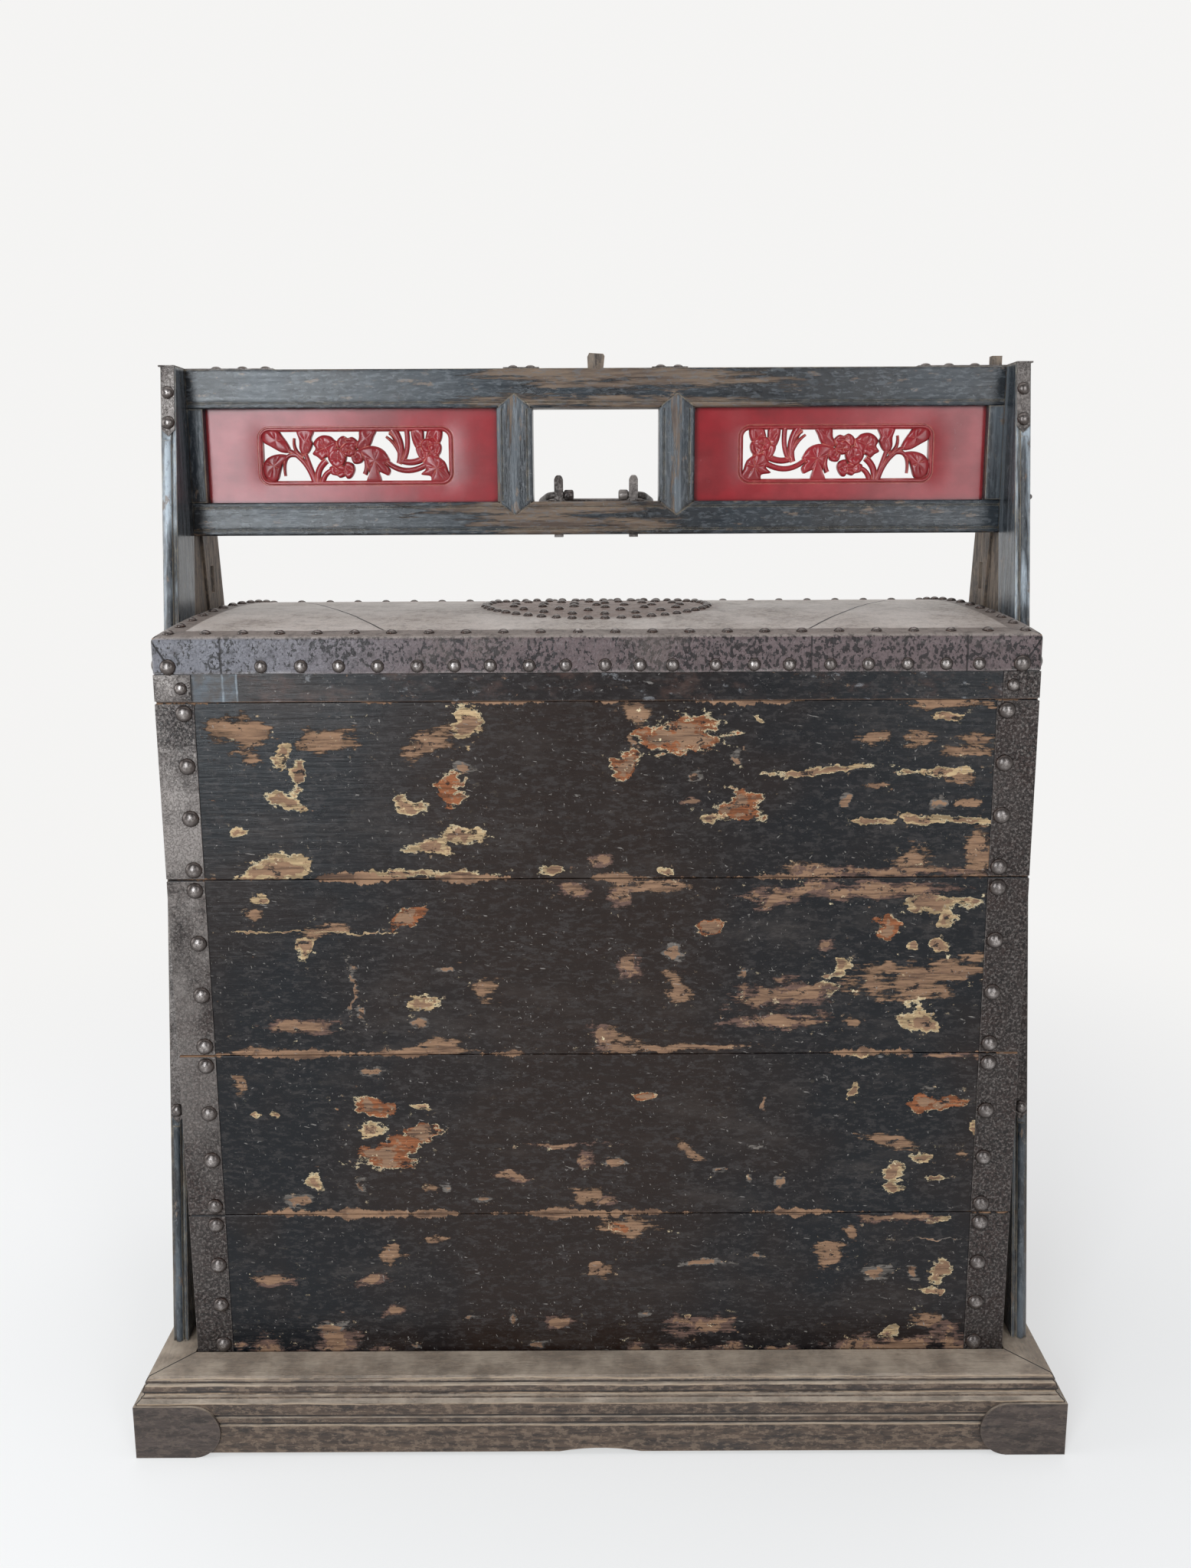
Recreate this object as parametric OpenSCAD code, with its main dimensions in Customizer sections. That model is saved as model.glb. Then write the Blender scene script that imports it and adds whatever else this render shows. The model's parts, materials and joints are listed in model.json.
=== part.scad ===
// Wedding chest: four stacked trays and a leather covered lid that stand on a
// moulded base, between two A-shaped end frames joined by a carved top rail.
// X runs along the chest, Y to the back and Z up, in millimetres. The origin
// lies on the floor under the middle of the base.

/* [Trays] */
// Length of the tray boxes along X
tray_w = 866; // [760:1:960]
// Depth of the tray boxes along Y
tray_d = 426; // [360:1:480]
// Height of the bottom tray
bottom_tray_h = 177.5; // [150:0.5:210]
// Height of the lower tray
lower_tray_h = 179.5; // [150:0.5:210]
// Height of the upper tray
upper_tray_h = 188; // [150:0.5:210]
// Height of the top tray
top_tray_h = 180.5; // [150:0.5:210]
// Thickness of the tray boards
board_t = 13; // [11:0.5:16]
// Thickness of the tray floors
floor_t = 7; // [5:0.5:10]
// Height of a floor's underside above the tray's lower edge
floor_lift = 12; // [10:0.5:20]
// Depth of the groove that a floor's edge sits in
floor_groove = 4; // [2:0.5:5]
// Height of the lip that locates the box above
lip_h = 8; // [4:0.5:9]
// Thickness of the lip
lip_t = 5; // [3:0.5:6]
// Play round the lip
lip_play = 1; // [0.5:0.1:1.5]
// Gap in the seam between two boxes
seam = 0.5; // [0.3:0.1:1.2]
// Rounding of the outer board edges
edge_r = 1.2; // [0.5:0.1:2.5]

/* [Corner irons] */
// Thickness of the sheet iron on the trays and the lid
iron_t = 1.2; // [0.8:0.1:2]
// Width of the corner irons on the left of the front
iron_left_w = 37; // [28:1:48]
// Width of the corner irons on the right of the front
iron_right_w = 40; // [28:1:48]
// Width of the corner irons on the ends
iron_end_w = 38; // [28:1:48]
// Radius of the large dome nails
nail_r = 7.3; // [5:0.1:8.5]
// Height of the large dome nails
nail_h = 4.6; // [3:0.1:6]
// Distance from a nail's centre to the inner edge of its iron
nail_inset = 10; // [8:0.5:14]
// Distance from the first nail's centre to a tray's edge
nail_end = 10.5; // [9:0.5:16]
// Number of nails along a tray corner
nail_rows = 4; // [3:1:5]

/* [Lid] */
// Height of the lid from its lower edge to the leather's front fold
lid_h = 65.2; // [56:0.2:80]
// Rise of the cambered top from front to middle
lid_rise = 12.5; // [6:0.5:20]
// Thickness of the lid's top board
lid_top_t = 9; // [7:0.5:12]
// Thickness of the leather cover
leather_t = 2; // [1.2:0.1:3]
// Height of the leather skirt below the fold
skirt_h = 37.5; // [30:0.5:42]
// Rounding of the cover's upright corners
cover_r = 6; // [3:0.5:12]
// Width of the lid's corner irons
lid_iron_w = 35; // [25:1:45]
// Radius of the small dome nails
small_nail_r = 5.8; // [4:0.1:6.5]
// Height of the small dome nails
small_nail_h = 3.4; // [2:0.1:4.5]
// Spacing of the small nails on the lid
nail_pitch = 37.3; // [28:0.1:50]
// Height of the skirt's nails above the skirt's lower edge
skirt_nail_up = 7.7; // [7:0.1:15]
// Distance of the border nails from the edge of the top
border_inset = 14; // [10:0.5:24]
// Radius of the round nail pattern on the top
medallion_r = 126; // [90:1:150]
// Number of nail rings in the pattern
medallion_rings = 4; // [2:1:5]
// Spacing of the nails along a ring
medallion_pitch = 17; // [14:0.5:30]

/* [Base] */
// Height of the base
base_h = 85.5; // [82:0.5:100]
// Depth of the recess that the bottom tray stands in
recess_depth = 19; // [14:0.5:22]
// Play between the irons of the bottom tray and the recess
recess_gap = 2; // [1:0.1:4]
// Width of the base's flat top outside the recess
shelf_w = 39; // [37:0.5:55]
// How far the base's moulding flares below the shelf
flare = 9.5; // [8:0.5:18]
// Thickness of the deck board
deck_t = 14; // [10:0.5:18]
// Depth of the groove that the deck's edge sits in
deck_groove = 8; // [4:0.5:10]
// Width of the bearers under the deck
bearer_w = 45; // [30:1:60]
// Height of the rails above the floor between the feet
foot_lift = 4; // [2:0.5:10]
// Height of the corner feet
foot_h = 59.5; // [50:0.5:62]
// Length of the straight part of a corner foot
foot_len = 60; // [45:1:90]
// Thickness by which the feet stand proud of the rails
foot_t = 2.5; // [1:0.1:4]
// Width of the shallow arch in the front rail
arch_w = 86; // [60:1:120]
// Height of the shallow arch in the front rail
arch_h = 4; // [2:0.5:8]

/* [End frames] */
// Thickness of the legs along X
leg_t = 16; // [14:0.5:18]
// Depth of the legs along Y
leg_d = 58; // [50:0.5:66]
// Gap between the tray ends and the legs
leg_gap = 17; // [12:0.5:20]
// Distance of the feet from the middle at the base
foot_spread = 200; // [170:1:205]
// Distance of the outer edges from the middle at the top
top_spread = 46.5; // [38:0.5:54]
// Radius of the round moulding on a leg's outer edge
leg_round_r = 4; // [3:0.1:5]
// Width of the outer fillet beside the round
leg_fillet = 2.5; // [1.5:0.1:3.5]
// Depth of the fillets behind the round
fillet_drop = 2.5; // [1.5:0.1:3.5]
// Thickness of a foot's tenon along X
foot_tenon_t = 9; // [6:0.5:11]
// Length of a foot's tenon
foot_tenon_h = 24; // [15:1:30]
// Thickness of the boards between the legs
gusset_t = 10; // [8:0.5:13]
// How far those boards reach below the lid's fold
gusset_drop = 70; // [40:1:120]
// Width of the locking slots in the rear legs
slot_w = 12; // [8:0.5:16]
// Height of the locking slots in the rear legs
slot_h = 31; // [20:1:40]
// Distance of the slots from the front edge of the rear leg
slot_inset = 12; // [10:0.5:20]
// Height of the slots' lower end above the lid's fold
slot_up = 26; // [15:1:40]

/* [Carved rail] */
// Gap between the lid's crown and the lower rail
rail_gap = 80; // [75:0.5:120]
// Height of the lower rail
lower_rail_h = 36.5; // [30:0.5:46]
// Height of the openings between the rails
opening_h = 101.5; // [90:0.5:130]
// Height of the top rail
top_rail_h = 42; // [34:0.5:50]
// Thickness of the rails
rail_t = 30; // [26:0.5:36]
// Width of the end stiles
stile_w = 17; // [12:0.5:24]
// Width of the muntins beside the middle opening
muntin_w = 39.5; // [32:0.5:46]
// Clear width of the middle opening
pole_w = 140; // [134:1:170]
// Thickness of the front layer of a muntin
muntin_face_t = 9; // [6:0.5:10]
// Height of the muntins' pointed ends
muntin_point = 15; // [8:0.5:18]
// Width of the bead along the openings
bead_w = 5; // [3:0.1:7]
// Depth of the quirk behind a bead
quirk = 1.6; // [0.8:0.1:2.5]
// Thickness of the carved panels
panel_t = 8; // [6:0.5:10]
// Depth of the grooves that hold the panels
panel_groove = 5; // [3:0.5:6]
// Length of the rail's tenons in the legs
tenon_len = 11; // [6:0.5:13]
// Thickness of the rail's tenons
tenon_t = 10; // [6:0.5:14]
// Height of the tenons' shoulders
tenon_shoulder = 6; // [4:0.5:9]
// Play round panels and tenons
joint_play = 0.2; // [0.1:0.05:0.4]

/* [Carving] */
// Width of the pierced field
field_w = 207; // [190:1:230]
// Height of the pierced field
field_h = 53.6; // [50:0.2:62]
// Corner radius of the pierced field
field_r = 8; // [4:0.5:14]
// Distance of the field's middle from the panel's middle
field_shift = 3.5; // [0:0.5:8]
// Width of the raised border round the field
border_w = 4.6; // [3:0.1:7]
// Height of the border and the carving over the panel
relief = 2.2; // [1:0.1:3]
// Width of the carved stems
stem_w = 5; // [4.2:0.1:6.5]

/* [Ironwork] */
// Thickness of the straps on the frame
strap_t = 1.6; // [1:0.1:2.5]
// Width of the straps on the leg edges
leg_strap_w = 14; // [10:0.5:15]
// Length of the straps down the leg edges
leg_strap_len = 78; // [60:1:110]
// Width of the straps on the outer faces
side_strap_w = 30; // [22:1:40]
// Length of the straps on the outer faces
side_strap_len = 98; // [70:1:140]
// Width of the straps on the top rail
rail_strap_w = 24; // [16:1:28]
// Length of the end straps on the top rail
rail_strap_len = 96; // [60:1:120]
// Distance of the middle straps from the muntins' inner edge
mid_strap_back = 8; // [0:0.5:12]
// Radius of the nails on the edge straps
edge_nail_r = 6.7; // [4:0.1:6.9]
// Height of the lower end of the low straps on the leg edges
low_strap_z = 320.5; // [280:1:400]
// Length of the low straps on the leg edges
low_strap_len = 240; // [180:1:300]
// How far the side staple stands out
staple_out = 10; // [7:0.5:14]
// How far the side staple's shank goes into the leg
staple_in = 8; // [4:0.5:12]
// Radius of the side staple's shank
staple_r = 1.6; // [1:0.1:2.2]
// Width of the head of the middle peg
peg_w = 17; // [12:0.5:24]
// Height of the head of the middle peg
peg_h = 17; // [10:0.5:24]
// Thickness of the pegs
peg_t = 10; // [6:0.5:14]
// Depth of the pegs in the top rail
peg_deep = 20; // [12:0.5:24]
// Width of the peg at the right end
end_peg_w = 11; // [8:0.5:14]
// Height of the peg at the right end
end_peg_h = 12; // [8:0.5:20]
// Distance of that peg's middle from the leg
end_peg_in = 8; // [7.5:0.5:12]
// Distance between the two eye pins
eye_span = 84; // [76:1:90]
// Width of an eye pin along X
eye_w = 9.7; // [8:0.1:12]
// Thickness of an eye pin's strip
eye_t = 3; // [2:0.1:3.5]
// Height of an eye pin over the lower rail
eye_h = 29; // [24:0.5:36]
// Radius of the bail's rod
rod_r = 4; // [3:0.1:4.4]
// Radius of the bail's arms
bail_arm_r = 3.6; // [2.6:0.1:3.8]
// Radius of the knobs on the bail's ends
knob_r = 6; // [5.2:0.1:6.4]
// Length of the knobs on the bail's ends
knob_len = 11; // [8:0.5:14]
// Play between the rod and an eye pin
rod_play = 0.4; // [0.3:0.05:0.8]
// Length of the bail's arms
bail_reach = 46; // [38:1:56]
// How far the bail's arms spread outwards
bail_splay = 12; // [6:0.5:14]
// Angle by which the resting bail droops
bail_droop = 9; // [0:0.5:9]

/* [Hidden] */
$fn = 32;
// Facets of the very large camber arcs
camber_fn = 720;
// Distance of a strap's tip from the end of its seat
play_of_seat = 4;
// How far a top plate stands over the straps that hang from it
strap_lap = 0.4;
// Overlap that lets a cut run clear of the face it starts from
cut = 1;

// Colours as the old finishes look
lacquer_black = [0.12, 0.13, 0.15];
lacquer_brown = [0.22, 0.17, 0.14];
lacquer_red = [0.55, 0.11, 0.11];
old_wood = [0.36, 0.30, 0.25];
iron_brown = [0.30, 0.25, 0.23];
leather_grey = [0.45, 0.42, 0.38];

// Base sizes
profile_d = shelf_w + flare;
recess_x = tray_w / 2 + iron_t + recess_gap;
recess_y = tray_d / 2 + iron_t + recess_gap;
base_x = recess_x + profile_d;
base_y = recess_y + profile_d;
deck_z = base_h - recess_depth;
groove_z = deck_z - deck_t;

// Levels of the stack, from the deck up
bottom_z = deck_z + seam;
lower_z = bottom_z + bottom_tray_h + seam;
upper_z = lower_z + lower_tray_h + seam;
top_z = upper_z + upper_tray_h + seam;
lid_z = top_z + top_tray_h + seam;
fold_z = lid_z + lid_h;
crown_z = fold_z + lid_rise;
skirt_z = fold_z - skirt_h;
lid_x = tray_w / 2 + leather_t;
lid_y = tray_d / 2 + leather_t;

// Radius and centre height of the lid's camber
camber_r = (lid_y * lid_y + lid_rise * lid_rise) / (2 * lid_rise);
camber_z = crown_z - camber_r;

// End frames and rail
lower_rail_z = crown_z + rail_gap;
opening_z = lower_rail_z + lower_rail_h;
top_rail_z = opening_z + opening_h;
frame_z = top_rail_z + top_rail_h;
leg_in = tray_w / 2 + leg_gap;
leg_out = leg_in + leg_t;
lean = (foot_spread - top_spread) / (frame_z - base_h);
lean_a = atan(lean);
slot_z = fold_z + slot_up;
gusset_z = fold_z - gusset_drop;
muntin_in = pole_w / 2;
muntin_out = muntin_in + muntin_w;
stile_in = leg_in - stile_w;
panel_w = stile_in - muntin_out;
panel_mid = (stile_in + muntin_out) / 2;
field_mid = panel_mid - field_shift;
opening_mid_z = opening_z + opening_h / 2;
low_strap_top = low_strap_z + low_strap_len * cos(lean_a);
leg_face = leg_t / 2 + leg_in;
lip_in = board_t - lip_t - lip_play;

// Bail and its eye pins
bail_z = opening_z + knob_r + 1;
bend_lap = (rod_r - bail_arm_r) / 2;
eye_x = eye_span / 2;
eye_slot = 2 * (rod_r + rod_play);
eye_d = eye_slot + 2 * eye_t;
arm_x = eye_x + eye_w / 2 + rod_r + rod_play;

// Half the depth of an end frame at height z
function spread(z) = foot_spread - lean * (z - base_h);
// Height of the cambered top above the fold's line, at depth y
function camber(y) = camber_z + sqrt(camber_r * camber_r - y * y);
// Tilt of the cambered top at depth y
function camber_tilt(y) = -asin(y / camber_r);
// Whole number of steps of about one pitch along a length
function steps(len, pitch) = max(1, round(len / pitch));

// A dome nail on a flat seat, pointing up
module dome(r, h) {
    ball = (r * r + h * h) / (2 * h);
    intersection() {
        translate([0, 0, h - ball]) sphere(r = ball);
        cylinder(r = r + cut, h = h + cut);
    }
}

// Extrudes a section drawn in Y and Z along X, from x0 to x1
module along_x(x0, x1) {
    translate([x0, 0, 0]) rotate([90, 0, 90]) linear_extrude(x1 - x0) children();
}

// Section of a base rail, from the recess wall outwards
module base_section() {
    cove_r = 4;
    difference() {
        union() {
            polygon([
                [0, foot_lift], [profile_d, foot_lift], [profile_d, foot_h + 2],
                [profile_d - 4, foot_h + 5], [profile_d - 5, foot_h + 10],
                [shelf_w + 2.5, base_h - 9], [shelf_w, base_h - 7],
                [shelf_w, base_h - 2], [shelf_w - 2, base_h], [0, base_h]
            ]);
            translate([shelf_w - 1, base_h - 5]) circle(r = 2.2);
        }
        translate([profile_d + 0.4, foot_h - 13]) circle(r = 2);
        translate([profile_d + 0.4, foot_h - 22]) circle(r = 2);
        translate([shelf_w + cove_r + 1, base_h - 17]) circle(r = cove_r * 0.6);
        translate([-cut, groove_z]) square([deck_groove + cut, deck_t + joint_play]);
    }
}

// Mitred rail along X on the back side, mirrored for the front
module base_long_rail() {
    intersection() {
        along_x(-base_x, base_x) translate([recess_y, 0]) base_section();
        linear_extrude(base_h + cut) polygon([
            [-recess_x, recess_y], [recess_x, recess_y],
            [base_x, base_y], [-base_x, base_y]
        ]);
    }
}

// Mitred rail along Y on the right side, mirrored for the left
module base_short_rail() {
    difference() {
        intersection() {
            translate([0, base_y, 0]) rotate([90, 0, 0])
                linear_extrude(2 * base_y) translate([recess_x, 0]) base_section();
            linear_extrude(base_h + cut) polygon([
                [recess_x, recess_y], [base_x, base_y],
                [base_x, -base_y], [recess_x, -recess_y]
            ]);
        }
        for (side = [-1, 1]) scale_side(side) foot_tenon(joint_play);
    }
}

// Mirrors front parts to the back for side = 1
module scale_side(side) {
    mirror([0, side > 0 ? 1 : 0, 0]) children();
}

// Mirrors right parts to the left for side = -1
module hand(side) {
    mirror([side < 0 ? 1 : 0, 0, 0]) children();
}

// Tenon under the right front leg
module foot_tenon(play) {
    tenon_d = leg_d * 0.6;
    inset = (leg_d - tenon_d) / 2;
    translate([leg_face - foot_tenon_t / 2 - play, inset - foot_spread - play, base_h - foot_tenon_h - play])
        cube([foot_tenon_t + 2 * play, tenon_d + 2 * play, foot_tenon_h + play + (play > 0 ? cut : 0)]);
}

module base_front_rail() {
    color(old_wood) difference() {
        mirror([0, 1, 0]) base_long_rail();
        base_arch();
    }
}

module base_back_rail() {
    color(old_wood) base_long_rail();
}

// Shallow arch under the front rail
module base_arch() {
    arch_r = (arch_w * arch_w / 4 + arch_h * arch_h) / (2 * arch_h);
    translate([0, -recess_y + cut, foot_lift + arch_h - arch_r])
        rotate([90, 0, 0]) cylinder(r = arch_r, h = profile_d + 2 * cut, $fn = 180);
}

module base_left_rail() {
    color(old_wood) mirror([1, 0, 0]) base_short_rail();
}

module base_right_rail() {
    color(old_wood) base_short_rail();
}

module base_deck() {
    reach = deck_groove - joint_play;
    color(old_wood) translate([-recess_x - reach, -recess_y - reach, groove_z])
        cube([2 * (recess_x + reach), 2 * (recess_y + reach), deck_t]);
}

module deck_bearers() {
    bearer_h = groove_z - foot_h / 2;
    color(old_wood) for (x = [-recess_x / 2, recess_x / 2])
        translate([x - bearer_w / 2, -recess_y, groove_z - bearer_h])
            cube([bearer_w, 2 * recess_y, bearer_h]);
}

// Outline of a foot's face, from the corner inwards
module foot_outline() {
    square([foot_len, foot_h]);
    translate([foot_len, foot_h / 2]) circle(d = foot_h);
}

// Foot at the front right corner
module corner_foot() {
    pad_x = base_x + foot_t;
    pad_y = base_y + foot_t;
    translate([pad_x, -base_y, 0]) rotate([90, 0, 0]) mirror([1, 0, 0])
        linear_extrude(foot_t) foot_outline();
    translate([base_x, -pad_y, 0]) rotate([90, 0, 90])
        linear_extrude(foot_t) foot_outline();
    translate([base_x - foot_len, -pad_y, 0]) cube([foot_len + foot_t, foot_len, foot_lift]);
}

module base_corner_feet() {
    color(old_wood) for (x = [-1, 1], y = [-1, 1]) hand(x) scale_side(y) corner_foot();
}

// Cross-section of a leg: X across, Y from the outer edge inwards
module leg_section() {
    depth = leg_d * cos(lean_a);
    quirk_x = 2 * leg_round_r + leg_fillet;
    difference() {
        translate([0, fillet_drop]) square([leg_t, depth - fillet_drop]);
        translate([quirk_x, fillet_drop - cut]) square([fillet_drop, fillet_drop + cut]);
    }
    translate([leg_fillet + leg_round_r, leg_round_r]) circle(r = leg_round_r);
}

// Right front leg, with its moulded edge to the front and outside
module front_leg() {
    rise = frame_z - base_h;
    long = rise / cos(lean_a);
    difference() {
        intersection() {
            translate([leg_out, -foot_spread, base_h]) rotate([-lean_a, 0, 0])
                mirror([1, 0, 0]) translate([0, 0, -leg_d])
                    linear_extrude(long + 2 * leg_d) leg_section();
            translate([leg_in - cut, -foot_spread - leg_d, base_h])
                cube([leg_t + 2 * cut, foot_spread + leg_d, rise]);
        }
        rail_tenons(joint_play);
        strap_seats();
    }
    foot_tenon(0);
}

// Places a piece on the outer edge of the right front leg at height z
module on_edge(z) {
    translate([leg_face, -spread(z), z]) rotate([-lean_a, 0, 0]) children();
}

// Flat seats for the irons on the leg's outer edge
module strap_seats() {
    on_edge(frame_z) translate([-leg_t, -cut, -leg_strap_len])
        cube([2 * leg_t, cut + fillet_drop, 2 * leg_strap_len]);
    on_edge(low_strap_top) translate([-leg_t, -cut, -low_strap_len])
        cube([2 * leg_t, cut + fillet_drop, low_strap_len]);
}

// Tenons of both rails at the right end
module rail_tenons(play) {
    rail_tenon(lower_rail_z, lower_rail_h, play);
    rail_tenon(top_rail_z, top_rail_h, play);
}

// Tenon of a rail that starts at z and is h high
module rail_tenon(z, h, play) {
    translate([leg_in - cut, -tenon_t / 2 - play, z + tenon_shoulder - play])
        cube([tenon_len + play + cut, tenon_t + 2 * play, h - 2 * tenon_shoulder + 2 * play]);
}

// Slot through the right rear leg for a locking bar
module lock_slot() {
    slot_y = spread(slot_z) - leg_d + slot_inset;
    translate([leg_in - cut, slot_y, slot_z]) cube([leg_t + 2 * cut, slot_w, slot_h]);
}

module rear_leg() {
    difference() {
        mirror([0, 1, 0]) front_leg();
        lock_slot();
    }
}

module left_front_leg() {
    color(lacquer_black) mirror([1, 0, 0]) front_leg();
}

module left_rear_leg() {
    color(lacquer_brown) mirror([1, 0, 0]) rear_leg();
}

module right_front_leg() {
    color(lacquer_black) difference() {
        front_leg();
        staple_shank(joint_play);
    }
}

module right_rear_leg() {
    color(lacquer_brown) rear_leg();
}

// Wedge board that fills the top of the angle between the legs
module end_gussets() {
    apex_z = frame_z - (leg_d - top_spread) / lean;
    half = spread(gusset_z) - leg_d;
    color(lacquer_brown) for (side = [-1, 1]) hand(side) difference() {
        along_x(leg_face - gusset_t / 2, leg_face + gusset_t / 2)
            polygon([[-half, gusset_z], [half, gusset_z], [0, apex_z]]);
        rail_tenons(joint_play);
    }
}

// Section of a rail in Y and Z, h high, with beads on its front edges
module rail_section(h, beads) {
    difference() {
        translate([-rail_t / 2, 0]) square([rail_t, h]);
        for (z = beads) {
            at = z == 0 ? bead_w / 2 : h - bead_w / 2;
            corner = z == 0 ? -cut : h - bead_w / 2;
            translate([-rail_t / 2 - cut, corner]) square([bead_w / 2 + cut, bead_w / 2 + cut]);
            translate([-rail_t / 2 - cut, at + (z == 0 ? bead_w / 2 : -bead_w / 2 - quirk)])
                square([quirk + cut, quirk]);
        }
    }
    for (z = beads) translate([-rail_t / 2 + bead_w / 2, z == 0 ? bead_w / 2 : h - bead_w / 2])
        circle(d = bead_w);
}

// Grooves and V notches that both rails have, for the part above or below
module rail_cuts() {
    for (side = [-1, 1]) {
        hand(side) panel_board(joint_play);
        hand(side) muntin_face(joint_play);
    }
}

// Panel blank of the right panel, grown by play for its grooves
module panel_board(play) {
    reach = panel_groove - joint_play + play;
    translate([muntin_out - reach, -panel_t / 2 - play, opening_z - reach])
        cube([panel_w + 2 * reach, panel_t + 2 * play, opening_h + 2 * reach]);
}

// Front layer of the right muntin with its pointed ends, grown by play
module muntin_face(play) {
    mid = muntin_w / 2;
    tip = muntin_point + play;
    translate([muntin_in, -rail_t / 2 + muntin_face_t + play, opening_z]) rotate([90, 0, 0])
        linear_extrude(muntin_face_t + play + cut) polygon([
            [-play, 0], [mid, -tip], [muntin_w + play, 0],
            [muntin_w + play, opening_h], [mid, opening_h + tip], [-play, opening_h]
        ]);
}

// Pointed end of the right muntin's front layer
module muntin_tip(z, way) {
    mid = muntin_w / 2;
    translate([muntin_in, -rail_t / 2 + muntin_face_t, z]) rotate([90, 0, 0])
        linear_extrude(muntin_face_t) polygon([
            [bead_w / 2, 0], [bead_w / 2, way * bead_w / mid * muntin_point / 2],
            [mid, way * muntin_point], [muntin_w - bead_w / 2, way * bead_w / mid * muntin_point / 2],
            [muntin_w - bead_w / 2, 0], [muntin_w - bead_w / 2, -way], [bead_w / 2, -way]
        ]);
}

// Section of the right muntin in X and Y, with a bead on each front edge
module muntin_section() {
    difference() {
        square([muntin_w, rail_t]);
        for (x = [-cut, muntin_w - bead_w / 2])
            translate([x, -cut]) square([bead_w / 2 + cut, bead_w / 2 + cut]);
        for (x = [bead_w, muntin_w - bead_w - quirk])
            translate([x, -cut]) square([quirk, quirk + cut]);
    }
    for (x = [bead_w / 2, muntin_w - bead_w / 2]) translate([x, bead_w / 2]) circle(d = bead_w);
}

module top_rail() {
    color(lacquer_black) difference() {
        union() {
            translate([0, 0, top_rail_z]) along_x(-leg_in, leg_in) rail_section(top_rail_h, [0]);
            for (side = [-1, 1]) hand(side) rail_tenon(top_rail_z, top_rail_h, 0);
        }
        rail_cuts();
        peg_holes();
    }
}

module lower_rail() {
    color(lacquer_black) difference() {
        union() {
            translate([0, 0, lower_rail_z]) along_x(-leg_in, leg_in) rail_section(lower_rail_h, [0, 1]);
            for (side = [-1, 1]) hand(side) rail_tenon(lower_rail_z, lower_rail_h, 0);
        }
        rail_cuts();
        for (side = [-1, 1]) hand(side) eye_shank(joint_play);
    }
}

module end_stiles() {
    color(lacquer_black) for (side = [-1, 1]) hand(side) difference() {
        translate([stile_in, -rail_t / 2, opening_z]) cube([stile_w, rail_t, opening_h]);
        panel_board(joint_play);
    }
}

module muntins() {
    color(lacquer_black) for (side = [-1, 1]) hand(side) difference() {
        union() {
            translate([muntin_in, -rail_t / 2, opening_z]) linear_extrude(opening_h) muntin_section();
            muntin_tip(opening_z, -1);
            muntin_tip(opening_z + opening_h, 1);
        }
        panel_board(joint_play);
    }
}

// Point at share t along the curve with control points a, b and c
function curve(a, b, c, t) = (1 - t) * (1 - t) * a + 2 * t * (1 - t) * b + t * t * c;
// Unit normal of the same curve
function side_of(a, b, c, t) =
    let (d = (1 - t) * (b - a) + t * (c - b), n = norm(d)) [-d[1], d[0]] / n;
// Point beside the curve, half of width w to one side
function beside(a, b, c, t, w) = curve(a, b, c, t) + side_of(a, b, c, t) * w / 2;

// Stem along a curve, w0 wide at its start and w1 at its end
module stem(a, b, c, w0, w1) {
    n = 10;
    polygon(concat(
        [for (i = [0:n]) let (t = i / n) beside(a, b, c, t, w0 + (w1 - w0) * t)],
        [for (i = [n:-1:0]) let (t = i / n) beside(a, b, c, t, -w0 - (w1 - w0) * t)]
    ));
    translate(c) circle(d = w1 * 1.15);
    translate(a) circle(d = w0 * 1.15);
}

// Half width of a leaf at share t of its length, as a share of its greatest
function leaf_share(t) = max(0.04, sin(180 * pow(0.06 + 0.94 * t, 0.8)));

// Leaf along a curve, w wide at its fullest and pointed at its end
module leaf(a, b, c, w) {
    n = 12;
    polygon(concat(
        [for (i = [0:n]) let (t = i / n) beside(a, b, c, t, leaf_share(t) * w)],
        [for (i = [n:-1:0]) let (t = i / n) beside(a, b, c, t, -leaf_share(t) * w)]
    ));
}

// Petal as a round lobe joined to the flower's middle
module petal(middle, out, r) {
    translate(middle + out) circle(r = r);
    stem(middle, middle + out / 2, middle + out * 0.8, r, r);
}

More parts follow.
